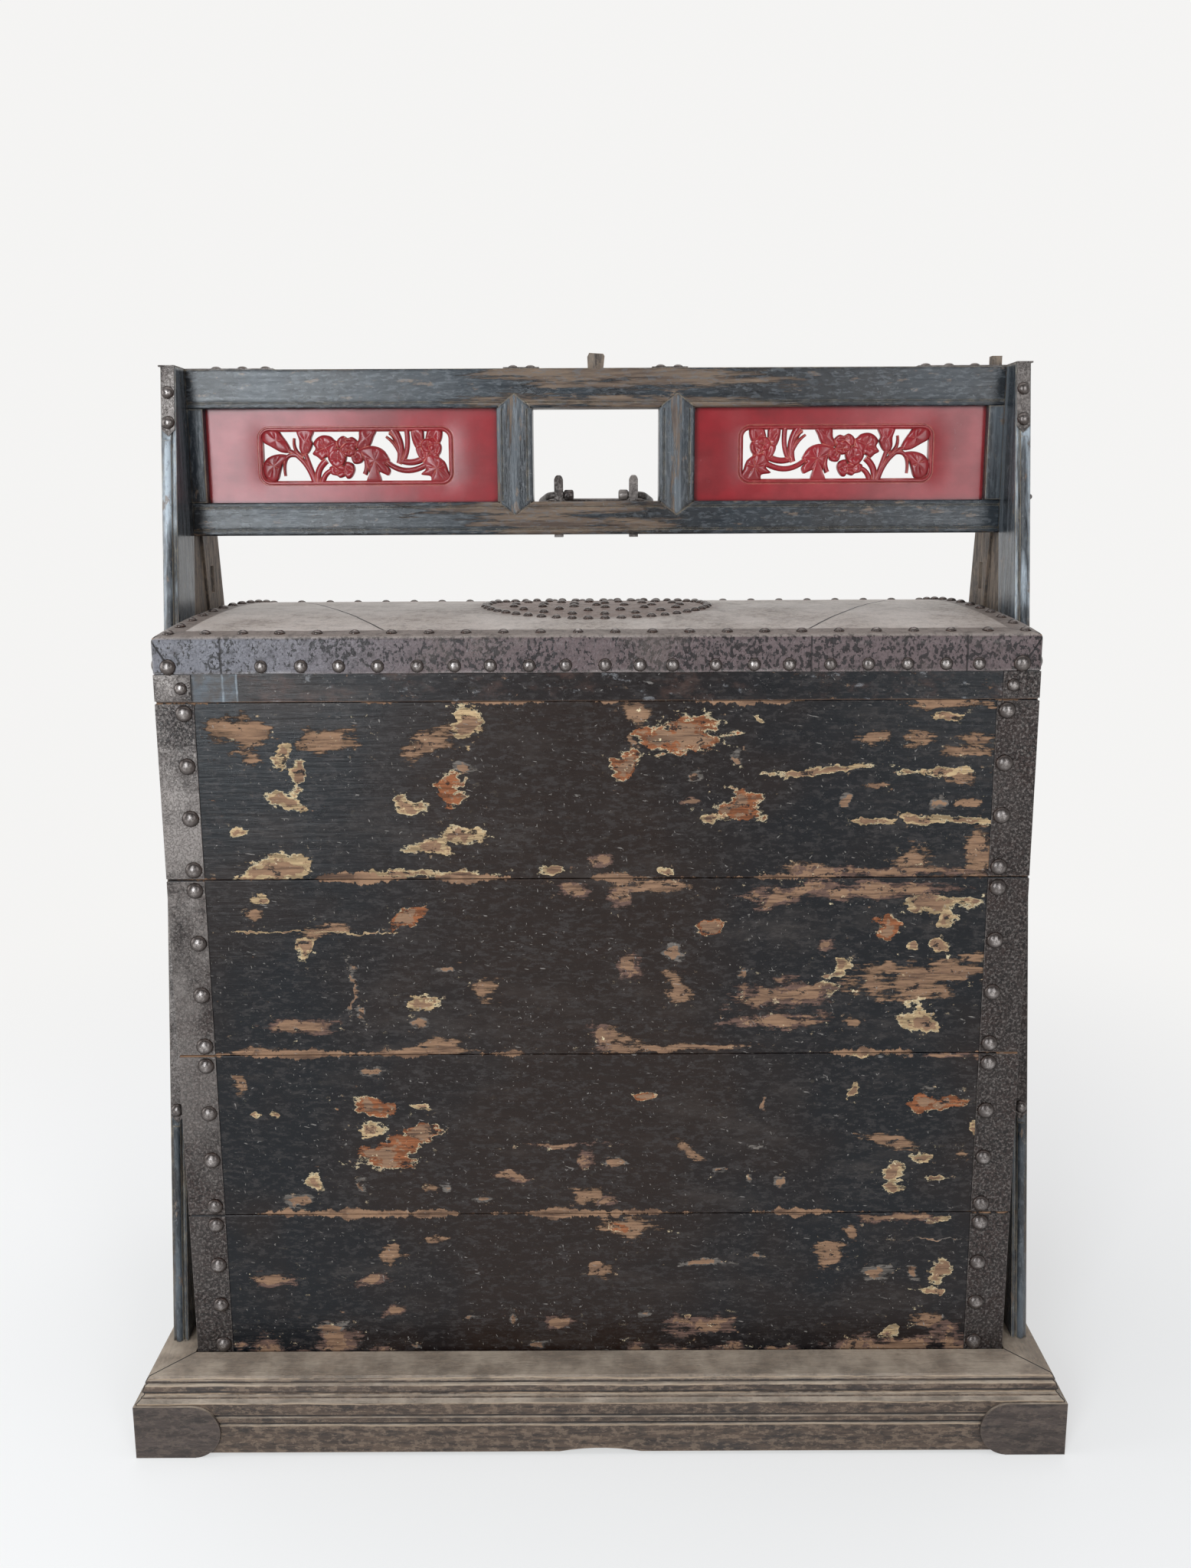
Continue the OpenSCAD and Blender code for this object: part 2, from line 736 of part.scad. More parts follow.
// Flower and leaf scroll of the left panel, about the middle of its field
module scroll() {
    flower = [-18, 3];
    rose = [81, 11];
    // Forked twig that rises from the lower border
    stem([-47, -28], [-50, -8], [-72, 6], stem_w * 1.15, stem_w * 0.85);
    stem([-58, -4], [-54, 2], [-53, 12], stem_w * 0.85, stem_w * 0.85);
    leaf([-68, 4], [-82, 9], [-105, 27], 14);
    leaf([-55, 0], [-46, 12], [-52, 31], 13);
    leaf([-60, 0], [-70, 10], [-65, 25], 8);
    leaf([-62, 2], [-88, 5], [-107, -12], 14);
    leaf([-66, 3], [-90, -2], [-92, -31], 15);
    leaf([-66, 3], [-84, -2], [-80, -22], 9);
    // Flower with petals on its own stalk
    stem([-46, -28], [-44, -10], [-30, -4], stem_w, stem_w);
    translate(flower) circle(r = 9);
    petal(flower, [-17, 8], 10.5);
    petal(flower, [7, 10], 11);
    petal(flower, [20, 6], 7.5);
    petal(flower, [-9, -9], 9);
    petal(flower, [1, -15], 8.5);
    petal(flower, [15, -5], 8);
    // Leaves beyond the flower
    leaf([0, 8], [6, 16], [21, 31], 11);
    leaf([2, 8], [26, 9], [41, -8], 14);
    leaf([8, 5], [32, -4], [34, -22], 13);
    leaf([8, 4], [22, -8], [20, -32], 12);
    // Stem of the scroll with its hook and side leaf
    stem([36, -5], [56, -24], [83, -5], stem_w, stem_w * 0.9);
    leaf([56, -9], [44, 2], [36, 20], 7);
    stem([50, 28], [64, 14], [55, -4], stem_w * 1.3, stem_w * 1.2);
    stem([55, -4], [64, -6], [74, 5], stem_w * 1.2, stem_w * 1.2);
    // Rose and the leaves in the field's corner
    translate(rose) circle(r = 9);
    petal(rose, [-9, 9], 6.5);
    petal(rose, [6, 11], 6.5);
    petal(rose, [11, 0], 6);
    petal(rose, [-8, -3], 6);
    petal(rose, [3, -7], 6);
    leaf([76, -4], [88, 0], [106, -16], 14);
    leaf([78, -4], [96, -4], [96, -32], 16);
    stem([88, -8], [98, -14], [99, -28], stem_w * 1.6, stem_w);
}

// Rounded field outline, grown by a margin
module field(grow) {
    w = field_w + 2 * grow;
    h = field_h + 2 * grow;
    r = field_r + grow;
    translate([-w / 2 + r, -h / 2]) square([w - 2 * r, h]);
    translate([-w / 2, -h / 2 + r]) square([w, h - 2 * r]);
    for (x = [-1, 1], y = [-1, 1]) translate([x * (w / 2 - r), y * (h / 2 - r)]) circle(r = r);
}

// Left panel: a board with a pierced field, a raised border and the scroll
module carved_panel() {
    difference() {
        mirror([1, 0, 0]) panel_board(0);
        translate([-field_mid, panel_t / 2 + cut, opening_mid_z]) rotate([90, 0, 0])
            linear_extrude(panel_t + 2 * cut) field(0);
    }
    translate([-field_mid, -panel_t / 2, opening_mid_z]) rotate([90, 0, 0])
        linear_extrude(relief) difference() {
            field(border_w);
            field(0);
        }
    translate([-field_mid, panel_t / 2, opening_mid_z]) rotate([90, 0, 0])
        linear_extrude(panel_t + relief) intersection() {
            scale([field_w / 207, field_h / 53.6]) scroll();
            field(border_w / 2);
        }
}

module left_carved_panel() {
    color(lacquer_red) carved_panel();
}

module right_carved_panel() {
    color(lacquer_red) mirror([1, 0, 0]) carved_panel();
}

// Outline of a strap with a pointed lower end, hanging down from height up
module strap_outline(w, len, up = 0) {
    polygon([[-w / 2, up], [w / 2, up], [w / 2, -len + w / 2], [0, -len], [-w / 2, -len + w / 2]]);
}

// Strap on the outer edge of the right front leg, hanging down from z
module edge_strap(z, len, up = 0) {
    on_edge(z) translate([0, fillet_drop, 0]) rotate([90, 0, 0])
        linear_extrude(strap_t) strap_outline(leg_strap_w, len - play_of_seat, up);
}

// Iron over the top of the right end frame
module top_strap() {
    reach_y = top_spread - fillet_drop / cos(lean_a) + strap_t + strap_lap;
    x0 = leg_face - leg_strap_w / 2;
    for (side = [-1, 1]) scale_side(side) {
        edge_strap(frame_z, leg_strap_len, strap_t / 2);
        translate([leg_out, -top_spread / 2, frame_z]) rotate([-lean_a, 0, 0])
            rotate([90, 0, 90]) linear_extrude(strap_t)
                strap_outline(side_strap_w, side_strap_len, -side_strap_w / 2 * tan(lean_a) + strap_t / 2);
    }
    translate([x0 - strap_lap, -reach_y, frame_z])
        cube([leg_out + strap_t - x0 + 2 * strap_lap, 2 * reach_y, strap_t]);
}

module leg_top_straps() {
    color(iron_brown) for (side = [-1, 1]) hand(side) top_strap();
}

// Irons on the lower part of the leg edges
module low_leg_straps() {
    color(iron_brown) for (side = [-1, 1], end = [-1, 1]) hand(side) scale_side(end)
        edge_strap(low_strap_top, low_strap_len);
}

module rail_top_straps() {
    color(iron_brown) difference() {
        for (side = [-1, 1]) hand(side) {
            translate([leg_in - rail_strap_len, -rail_strap_w / 2, frame_z])
                cube([rail_strap_len, rail_strap_w, strap_t]);
            translate([muntin_in - mid_strap_back, -rail_strap_w / 2, frame_z])
                cube([muntin_w, rail_strap_w, strap_t]);
        }
        end_peg(joint_play);
    }
}

// Dome nail on an edge strap, at distance down from the strap's top at z
module edge_nail(z, down) {
    on_edge(z) translate([0, fillet_drop - strap_t, -down]) rotate([90, 0, 0])
        dome(edge_nail_r, nail_h);
}

module frame_strap_nails() {
    color(iron_brown) for (side = [-1, 1]) hand(side) {
        for (end = [-1, 1]) scale_side(end) {
            for (down = [0.35, 0.76]) edge_nail(frame_z, down * leg_strap_len);
            for (down = [nail_inset, low_strap_len - play_of_seat - leg_strap_w])
                edge_nail(low_strap_top, down);
            for (down = [0.2, 0.5, 0.8])
                translate([leg_out + strap_t, -top_spread / 2, frame_z]) rotate([-lean_a, 0, 0])
                    translate([0, 0, -down * side_strap_len]) rotate([0, 90, 0])
                        dome(small_nail_r, small_nail_h);
        }
        for (in = [0.32, 0.62, 0.89]) translate([leg_in - in * rail_strap_len, 0, frame_z + strap_t])
            dome(small_nail_r, small_nail_h);
        for (in = [0, 1]) translate([muntin_in - mid_strap_back + nail_inset
            + in * (muntin_w - 2 * nail_inset), 0, frame_z + strap_t]) dome(small_nail_r, small_nail_h);
    }
}

// Hairpin loop of an eye pin in Y and Z, open at its foot
module eye_loop() {
    foot = -lower_rail_h - 1;
    difference() {
        union() {
            translate([-eye_d / 2, foot]) square([eye_d, eye_h - eye_d / 2 - foot]);
            translate([0, eye_h - eye_d / 2]) circle(d = eye_d);
        }
        translate([-eye_slot / 2, foot - cut]) square([eye_slot, eye_h - eye_d / 2 - foot + cut]);
        translate([0, eye_h - eye_d / 2]) circle(d = eye_slot);
    }
}

// Mortise through the lower rail for the right eye pin
module eye_shank(play) {
    translate([eye_x - eye_w / 2 - play, -eye_d / 2 - play, lower_rail_z - cut])
        cube([eye_w + 2 * play, eye_d + 2 * play, lower_rail_h + 2 * cut]);
}

module eye_pins() {
    tip = 4;
    color(iron_brown) for (side = [-1, 1]) hand(side) {
        intersection() {
            along_x(eye_x - eye_w / 2, eye_x + eye_w / 2) translate([0, opening_z]) eye_loop();
            translate([eye_x, eye_d / 2 + cut, opening_z]) rotate([90, 0, 0])
                linear_extrude(eye_d + 2 * cut) polygon([
                    [-eye_w / 2, -lower_rail_h - cut], [eye_w / 2, -lower_rail_h - cut],
                    [eye_w / 2, eye_h - eye_w * 0.5], [eye_w * 0.36, eye_h - eye_w * 0.15],
                    [eye_w * 0.15, eye_h + cut / 4], [-eye_w * 0.15, eye_h + cut / 4],
                    [-eye_w * 0.36, eye_h - eye_w * 0.15], [-eye_w / 2, eye_h - eye_w * 0.5]
                ]);
        }
        for (end = [-1, 1]) scale_side(end)
            translate([eye_x - eye_w / 2, -eye_d / 2 - tip, lower_rail_z - eye_t])
                cube([eye_w, eye_t + tip, eye_t]);
    }
}

// Holes of both pegs in the top rail
module peg_holes() {
    middle_peg(joint_play);
    end_peg(joint_play);
}

// Shank of the middle peg
module middle_peg(play) {
    w = peg_w - 2 + 2 * play;
    translate([-w / 2, -peg_t / 2 - play, frame_z - peg_deep - play])
        cube([w, peg_t + 2 * play, peg_deep + play + (play > 0 ? cut : 0)]);
}

// Peg at the right end, which passes through the strap
module end_peg(play) {
    w = end_peg_w + 2 * play;
    translate([leg_in - end_peg_in - w / 2, -peg_t / 2 - play, frame_z - peg_deep - play])
        cube([w, peg_t + 2 * play, peg_deep + end_peg_h + play]);
}

module top_pegs() {
    color(lacquer_brown) {
        middle_peg(0);
        translate([0, peg_t / 2 + 1, frame_z]) rotate([90, 0, 0]) linear_extrude(peg_t + 2)
            polygon([
                [-peg_w / 2, 0], [peg_w / 2, 0], [peg_w / 2 + 1.5, peg_h * 0.8],
                [peg_w / 2, peg_h - 1], [-peg_w / 2 + 1.5, peg_h], [-peg_w / 2 - 0.5, peg_h * 0.75]
            ]);
        end_peg(0);
    }
}

// Shank of the side staple, in the right front leg
module staple_shank(play) {
    eye_z = opening_z + 1;
    translate([leg_out - staple_in - play, -spread(eye_z) + leg_d / 2, eye_z]) rotate([0, 90, 0])
        cylinder(r = staple_r + play, h = staple_in + play + (play > 0 ? cut : 1));
}

// Small flat eye on the outer face of the right front leg
module side_staple() {
    eye_z = opening_z + 1;
    eye_r = 3;
    color(iron_brown) {
        staple_shank(0);
        translate([leg_out + 0.8, -spread(eye_z) + leg_d / 2, eye_z]) rotate([0, -12, 0])
            rotate([90, 0, 0]) translate([0, 0, -staple_r]) linear_extrude(2 * staple_r) difference() {
                union() {
                    translate([0, -2.6]) square([staple_out - eye_r, 5.2]);
                    translate([staple_out - eye_r, 0]) circle(r = eye_r);
                }
                translate([staple_out - eye_r, 0]) circle(r = 1.2);
            }
    }
}

// Unit vector at angle a in the bail's plane
function way(a) = [cos(a), 0, sin(a)];

// Round rod of the bail between two points
module rod(a, b, r) {
    d = b - a;
    translate(a) rotate([0, atan2(d[0], d[2]), 0]) cylinder(r = r, h = norm(d));
}

// Half space on one side of the mitre plane at a corner, which lies at angle a
module mitre(at, a, side, lap = 0) {
    big = 4 * (bail_reach + eye_span);
    translate(at) rotate([0, -a, 0])
        translate([side > 0 ? -lap : lap - big, -big / 2, -big / 2]) cube(big);
}

// Both arms and the grip of the bail, standing upright
module bail_handle() {
    low = [arm_x + 1, 0, 0];
    high = low + [bail_splay, 0, bail_reach];
    lean = atan2(bail_reach, bail_splay);
    over = 5 * rod_r;
    knob_x = eye_x - eye_w / 2 - 1;
    color(iron_brown) translate([0, 0, bail_z]) rotate([-90 - bail_droop, 0, 0]) {
        for (side = [-1, 1]) hand(side) {
            translate([knob_x - knob_len, 0, 0]) rotate([0, 90, 0]) cylinder(r = knob_r, h = knob_len);
            intersection() {
                rod([knob_x - knob_len / 2, 0, 0], low + [over, 0, 0], rod_r);
                mitre(low, lean / 2, -1);
            }
            intersection() {
                rod(low - over * way(lean), high + over * way(lean), bail_arm_r);
                mitre(low, lean / 2, 1, bend_lap);
                mitre(high, lean / 2 + 90, -1, bend_lap);
            }
        }
        intersection() {
            rod([-high[0] - over, 0, high[2]], high + [over, 0, 0], rod_r);
            mitre(high, lean / 2 + 90, 1);
            mirror([1, 0, 0]) mitre(high, lean / 2 + 90, 1);
        }
    }
}

// Section of a board with rounded outer edges: the outer face is at zero
module board_section(z0, h) {
    translate([edge_r, z0]) square([board_t - edge_r, h]);
    translate([0, z0 + edge_r]) square([board_t, h - 2 * edge_r]);
    for (z = [z0 + edge_r, z0 + h - edge_r]) translate([edge_r, z]) circle(r = edge_r);
}

// Board at the front of a tray or lid, with its section as a child
module long_board() {
    translate([0, -tray_d / 2, 0]) along_x(-tray_w / 2, tray_w / 2) children();
}

// Board at the right end, between the long boards, with its section as a child
module end_board() {
    inner_y = tray_d / 2 - board_t;
    translate([tray_w / 2, inner_y, 0]) rotate([90, 0, 0]) mirror([1, 0, 0])
        linear_extrude(2 * inner_y) children();
}

// Lip on top of the front board
module long_lip(z) {
    x = tray_w / 2 - lip_in;
    translate([-x, -tray_d / 2 + lip_in, z - cut]) cube([2 * x, lip_t, lip_h + cut]);
}

// Lip on top of the right end board
module end_lip(z) {
    y = tray_d / 2 - board_t;
    translate([tray_w / 2 - lip_in - lip_t, -y, z - cut]) cube([lip_t, 2 * y, lip_h + cut]);
}

// Rebate that takes the lips of the box below, as a block under the boards
module lip_rebate(z) {
    x = tray_w / 2 - lip_in + lip_play;
    y = tray_d / 2 - lip_in + lip_play;
    translate([-x, -y, z - cut]) cube([2 * x, 2 * y, lip_h + lip_play + cut]);
}

// Long board at the front of a tray
module tray_long_board(z0, h) {
    difference() {
        union() {
            long_board() board_section(z0, h);
            long_lip(z0 + h);
        }
        lip_rebate(z0);
        tray_floor(z0, joint_play);
    }
}

// End boards of a tray, between its long boards
module tray_end_boards(z0, h) {
    for (side = [-1, 1]) hand(side) difference() {
        union() {
            end_board() board_section(z0, h);
            end_lip(z0 + h);
        }
        lip_rebate(z0);
        tray_floor(z0, joint_play);
    }
}

// Floor of a tray, with its edges in the boards' grooves, grown by play
module tray_floor(z0, play = 0) {
    reach = floor_groove - joint_play + play;
    x = tray_w / 2 - board_t + reach;
    y = tray_d / 2 - board_t + reach;
    translate([-x, -y, z0 + floor_lift - play]) cube([2 * x, 2 * y, floor_t + 2 * play]);
}

// Sheet iron bent round a corner, w wide on the front and high from z0 to z1
module corner_iron(x, y, w, end_w, z0, z1) {
    translate([x - w, -y - iron_t, z0]) cube([w + iron_t, iron_t, z1 - z0]);
    translate([x, -y - iron_t, z0]) cube([iron_t, end_w + iron_t, z1 - z0]);
}

// Irons on all four corners of a tray
module tray_irons(z0, h) {
    trim = edge_r;
    for (end = [-1, 1]) scale_side(end) {
        corner_iron(tray_w / 2, tray_d / 2, iron_right_w, iron_end_w, z0 + trim, z0 + h - trim);
        mirror([1, 0, 0])
            corner_iron(tray_w / 2, tray_d / 2, iron_left_w, iron_end_w, z0 + trim, z0 + h - trim);
    }
}

// Dome nail on the front face at distance x from the middle
module front_nail(x, z) {
    translate([x, -tray_d / 2 - iron_t, z]) rotate([90, 0, 0]) dome(nail_r, nail_h);
}

// Nails of all four corner irons, kept clear of the recess in the base
module tray_nails(z0, h) {
    low = max(z0 + nail_end, base_h + nail_r + 1);
    high = z0 + h - nail_end;
    for (i = [0:nail_rows - 1], end = [-1, 1]) scale_side(end) {
        z = low + (high - low) * i / (nail_rows - 1);
        front_nail(tray_w / 2 - iron_right_w + nail_inset, z);
        front_nail(-tray_w / 2 + iron_left_w - nail_inset, z);
        for (side = [-1, 1]) hand(side)
            translate([tray_w / 2 + iron_t, -tray_d / 2 + iron_end_w - nail_inset, z])
                rotate([0, 90, 0]) dome(nail_r, nail_h);
    }
}

// Everything under the lid's camber, t below its outer skin
module under_camber(t, x) {
    along_x(-x, x) intersection() {
        translate([0, camber_z]) circle(r = camber_r - t, $fn = camber_fn);
        translate([-lid_y - cut, lid_z]) square([2 * (lid_y + cut), crown_z - lid_z]);
    }
}

// Rim boards of the lid before the camber is cut
module rim_section() {
    translate([0, lid_z]) square([board_t, lid_h + lid_rise]);
}

module long_rim() {
    intersection() {
        difference() {
            long_board() rim_section();
            lip_rebate(lid_z);
        }
        under_camber(leather_t + lid_top_t, tray_w);
    }
}

module lid_front_rim() {
    color(lacquer_black) long_rim();
}

module lid_back_rim() {
    color(lacquer_black) mirror([0, 1, 0]) long_rim();
}

module lid_end_rims() {
    color(lacquer_black) for (side = [-1, 1]) hand(side) intersection() {
        difference() {
            end_board() rim_section();
            lip_rebate(lid_z);
        }
        under_camber(leather_t + lid_top_t, tray_w);
    }
}

module lid_top_board() {
    color(old_wood) intersection() {
        difference() {
            under_camber(leather_t, tray_w / 2);
            under_camber(leather_t + lid_top_t, tray_w);
        }
        translate([-tray_w, -tray_d / 2, lid_z]) cube([2 * tray_w, tray_d, lid_h + lid_rise]);
    }
}

module lid_leather_cover() {
    color(leather_grey) difference() {
        intersection() {
            under_camber(0, lid_x);
            translate([0, 0, skirt_z]) linear_extrude(skirt_h + lid_rise + cut) cover_plan();
        }
        intersection() {
            under_camber(leather_t, tray_w);
            translate([-tray_w / 2, -tray_d / 2, lid_z - cut])
                cube([tray_w, tray_d, lid_h + lid_rise + 2 * cut]);
        }
    }
}

// Plan of the cover, with small round corners
module cover_plan() {
    r = min(cover_r, 2 * leather_t + 2);
    square([2 * (lid_x - r), 2 * lid_y], center = true);
    square([2 * lid_x, 2 * (lid_y - r)], center = true);
    for (x = [-1, 1], y = [-1, 1]) translate([x * (lid_x - r), y * (lid_y - r)]) circle(r = r);
}

module lid_corner_irons() {
    color(iron_brown) for (side = [-1, 1], end = [-1, 1]) hand(side) scale_side(end)
        corner_iron(tray_w / 2, tray_d / 2, lid_iron_w, lid_iron_w, lid_z + edge_r, skirt_z - 0.3);
}

// Nails along the lower edge of the skirt, and one on each lid iron
module lid_skirt_nails() {
    z = skirt_z + skirt_nail_up;
    end_x = lid_x - cover_r - nail_r - 3;
    end_y = lid_y - cover_r - nail_r - 3;
    nx = steps(2 * end_x, nail_pitch);
    ny = steps(2 * end_y, nail_pitch);
    iron_z = (lid_z + skirt_z) / 2;
    iron_nail_r = min(small_nail_r, (skirt_z - lid_z) / 2 - 1);
    color(iron_brown) {
        for (end = [-1, 1], i = [0:nx]) scale_side(end)
            translate([-end_x + 2 * end_x * i / nx, -lid_y, z]) rotate([90, 0, 0])
                skirt_nail(i == 0 || i == nx);
        for (side = [-1, 1], i = [0:ny]) hand(side)
            translate([lid_x, -end_y + 2 * end_y * i / ny, z]) rotate([0, 90, 0])
                skirt_nail(i == 0 || i == ny);
        for (side = [-1, 1], end = [-1, 1]) hand(side) scale_side(end) {
            translate([tray_w / 2 - lid_iron_w + nail_inset, -tray_d / 2 - iron_t, iron_z])
                rotate([90, 0, 0]) dome(iron_nail_r, small_nail_h);
            translate([tray_w / 2 + iron_t, -tray_d / 2 + lid_iron_w - nail_inset, iron_z])
                rotate([0, 90, 0]) dome(iron_nail_r, small_nail_h);
        }
    }
}

// Skirt nail, larger at the corners
module skirt_nail(corner) {
    if (corner) dome(nail_r, nail_h);
    else dome(small_nail_r, small_nail_h);
}

// Seats a nail on the cambered top at x and y
module on_camber(x, y) {
    translate([x, y, camber(y)]) rotate([camber_tilt(y), 0, 0]) children();
}

module lid_border_nails() {
    x = lid_x - border_inset;
    y = lid_y - border_inset;
    nx = steps(2 * x, nail_pitch);
    ny = steps(2 * y, nail_pitch);
    color(iron_brown) {
        for (end = [-1, 1], i = [0:nx]) on_camber(-x + 2 * x * i / nx, end * y)
            dome(small_nail_r, small_nail_h);
        for (side = [-1, 1], i = [1:ny - 1]) on_camber(side * x, -y + 2 * y * i / ny)
            dome(small_nail_r, small_nail_h);
    }
}

module lid_medallion_nails() {
    color(iron_brown) {
        on_camber(0, 0) dome(small_nail_r, small_nail_h);
        for (ring = [1:medallion_rings]) {
            r = medallion_r * ring / medallion_rings;
            n = floor(2 * PI * r / (ring < medallion_rings ? 2 * medallion_pitch : medallion_pitch));
            for (i = [0:n - 1]) on_camber(r * cos(360 * i / n), r * sin(360 * i / n))
                dome(small_nail_r, small_nail_h);
        }
    }
}

module bottom_tray_front() { color(lacquer_black) tray_long_board(bottom_z, bottom_tray_h); }
module bottom_tray_back() { color(lacquer_black) mirror([0, 1, 0]) tray_long_board(bottom_z, bottom_tray_h); }
module bottom_tray_ends() { color(lacquer_black) tray_end_boards(bottom_z, bottom_tray_h); }
module bottom_tray_floor() { color(old_wood) tray_floor(bottom_z); }
module bottom_tray_irons() { color(iron_brown) tray_irons(bottom_z, bottom_tray_h); }
module bottom_tray_nails() { color(iron_brown) tray_nails(bottom_z, bottom_tray_h); }

module lower_tray_front() { color(lacquer_black) tray_long_board(lower_z, lower_tray_h); }
module lower_tray_back() { color(lacquer_black) mirror([0, 1, 0]) tray_long_board(lower_z, lower_tray_h); }
module lower_tray_ends() { color(lacquer_black) tray_end_boards(lower_z, lower_tray_h); }
module lower_tray_floor() { color(old_wood) tray_floor(lower_z); }
module lower_tray_irons() { color(iron_brown) tray_irons(lower_z, lower_tray_h); }
module lower_tray_nails() { color(iron_brown) tray_nails(lower_z, lower_tray_h); }

module upper_tray_front() { color(lacquer_black) tray_long_board(upper_z, upper_tray_h); }
module upper_tray_back() { color(lacquer_black) mirror([0, 1, 0]) tray_long_board(upper_z, upper_tray_h); }
module upper_tray_ends() { color(lacquer_black) tray_end_boards(upper_z, upper_tray_h); }
module upper_tray_floor() { color(old_wood) tray_floor(upper_z); }
module upper_tray_irons() { color(iron_brown) tray_irons(upper_z, upper_tray_h); }
module upper_tray_nails() { color(iron_brown) tray_nails(upper_z, upper_tray_h); }

module top_tray_front() { color(lacquer_black) tray_long_board(top_z, top_tray_h); }
module top_tray_back() { color(lacquer_black) mirror([0, 1, 0]) tray_long_board(top_z, top_tray_h); }
module top_tray_ends() { color(lacquer_black) tray_end_boards(top_z, top_tray_h); }
module top_tray_floor() { color(old_wood) tray_floor(top_z); }
module top_tray_irons() { color(iron_brown) tray_irons(top_z, top_tray_h); }
module top_tray_nails() { color(iron_brown) tray_nails(top_z, top_tray_h); }

base_front_rail();
base_back_rail();
base_left_rail();
base_right_rail();
base_deck();
deck_bearers();
base_corner_feet();
left_front_leg();
left_rear_leg();
right_front_leg();
right_rear_leg();
end_gussets();
top_rail();
lower_rail();
end_stiles();
muntins();
left_carved_panel();
right_carved_panel();
leg_top_straps();
low_leg_straps();
rail_top_straps();
frame_strap_nails();
eye_pins();
top_pegs();
side_staple();
bail_handle();
lid_front_rim();
lid_back_rim();
lid_end_rims();
lid_top_board();
lid_leather_cover();
lid_corner_irons();
lid_skirt_nails();
lid_border_nails();
lid_medallion_nails();
bottom_tray_front();
bottom_tray_back();
bottom_tray_ends();
bottom_tray_floor();
bottom_tray_irons();
bottom_tray_nails();
lower_tray_front();
lower_tray_back();
lower_tray_ends();
lower_tray_floor();
lower_tray_irons();
lower_tray_nails();
upper_tray_front();
upper_tray_back();
upper_tray_ends();
upper_tray_floor();
upper_tray_irons();
upper_tray_nails();
top_tray_front();
top_tray_back();
top_tray_ends();
top_tray_floor();
top_tray_irons();
top_tray_nails();
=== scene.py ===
"""Wedding chest: four lacquered trays and a nailed leather lid, held in a carrying frame.

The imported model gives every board, rail, leg and iron its place. This script dresses them in
their old finishes and adds the pieces that need more shape: the forged dome nails, the leather
cover, the carved openwork panels and the bail handle.
"""

import json
import logging
import math
from collections.abc import Callable, Sequence
from dataclasses import dataclass
from enum import Enum

import bmesh
import bpy
from mathutils import Matrix, Vector, noise

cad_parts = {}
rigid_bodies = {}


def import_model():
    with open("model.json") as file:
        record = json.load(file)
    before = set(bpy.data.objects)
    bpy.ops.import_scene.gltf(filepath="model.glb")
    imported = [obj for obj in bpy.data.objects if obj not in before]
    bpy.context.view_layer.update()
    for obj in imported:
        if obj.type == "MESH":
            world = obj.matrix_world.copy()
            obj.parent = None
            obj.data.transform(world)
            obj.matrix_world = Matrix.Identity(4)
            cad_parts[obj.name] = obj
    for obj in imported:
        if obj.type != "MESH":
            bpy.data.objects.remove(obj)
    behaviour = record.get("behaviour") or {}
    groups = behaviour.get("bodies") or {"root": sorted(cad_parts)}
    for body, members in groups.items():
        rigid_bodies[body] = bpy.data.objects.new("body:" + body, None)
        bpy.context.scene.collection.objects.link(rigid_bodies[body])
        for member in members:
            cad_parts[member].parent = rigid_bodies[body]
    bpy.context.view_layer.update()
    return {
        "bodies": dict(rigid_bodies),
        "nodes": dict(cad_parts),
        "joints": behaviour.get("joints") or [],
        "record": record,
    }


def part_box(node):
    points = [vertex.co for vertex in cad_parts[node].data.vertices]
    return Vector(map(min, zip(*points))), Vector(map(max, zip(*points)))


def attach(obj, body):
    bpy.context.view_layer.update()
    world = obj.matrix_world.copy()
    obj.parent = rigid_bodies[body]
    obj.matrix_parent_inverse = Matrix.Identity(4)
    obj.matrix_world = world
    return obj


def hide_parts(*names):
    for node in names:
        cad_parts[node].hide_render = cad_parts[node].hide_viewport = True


LOG = logging.getLogger("wedding_chest")
MM = 0.001

Socket = bpy.types.NodeSocket
Colour = tuple[float, float, float, float]
Point = tuple[float, float]
Spot = tuple[float, float, float]
Feed = Socket | float | int | str | Sequence[float]
Inputs = dict[str, Feed]

ORIGIN: Spot = (0.0, 0.0, 0.0)


def shade(red: int, green: int, blue: int) -> Colour:
    """Turns a colour written in display steps of 0 to 255 into scene values.

    Args:
        red: Red step.
        green: Green step.
        blue: Blue step.

    Returns:
        The colour as linear red, green, blue and a full alpha.
    """
    def linear(step: int) -> float:
        """Gives the linear value of one display step."""
        part = step / 255
        return part / 12.92 if part <= 0.04045 else ((part + 0.055) / 1.055) ** 2.4

    return linear(red), linear(green), linear(blue), 1.0


# Node wiring


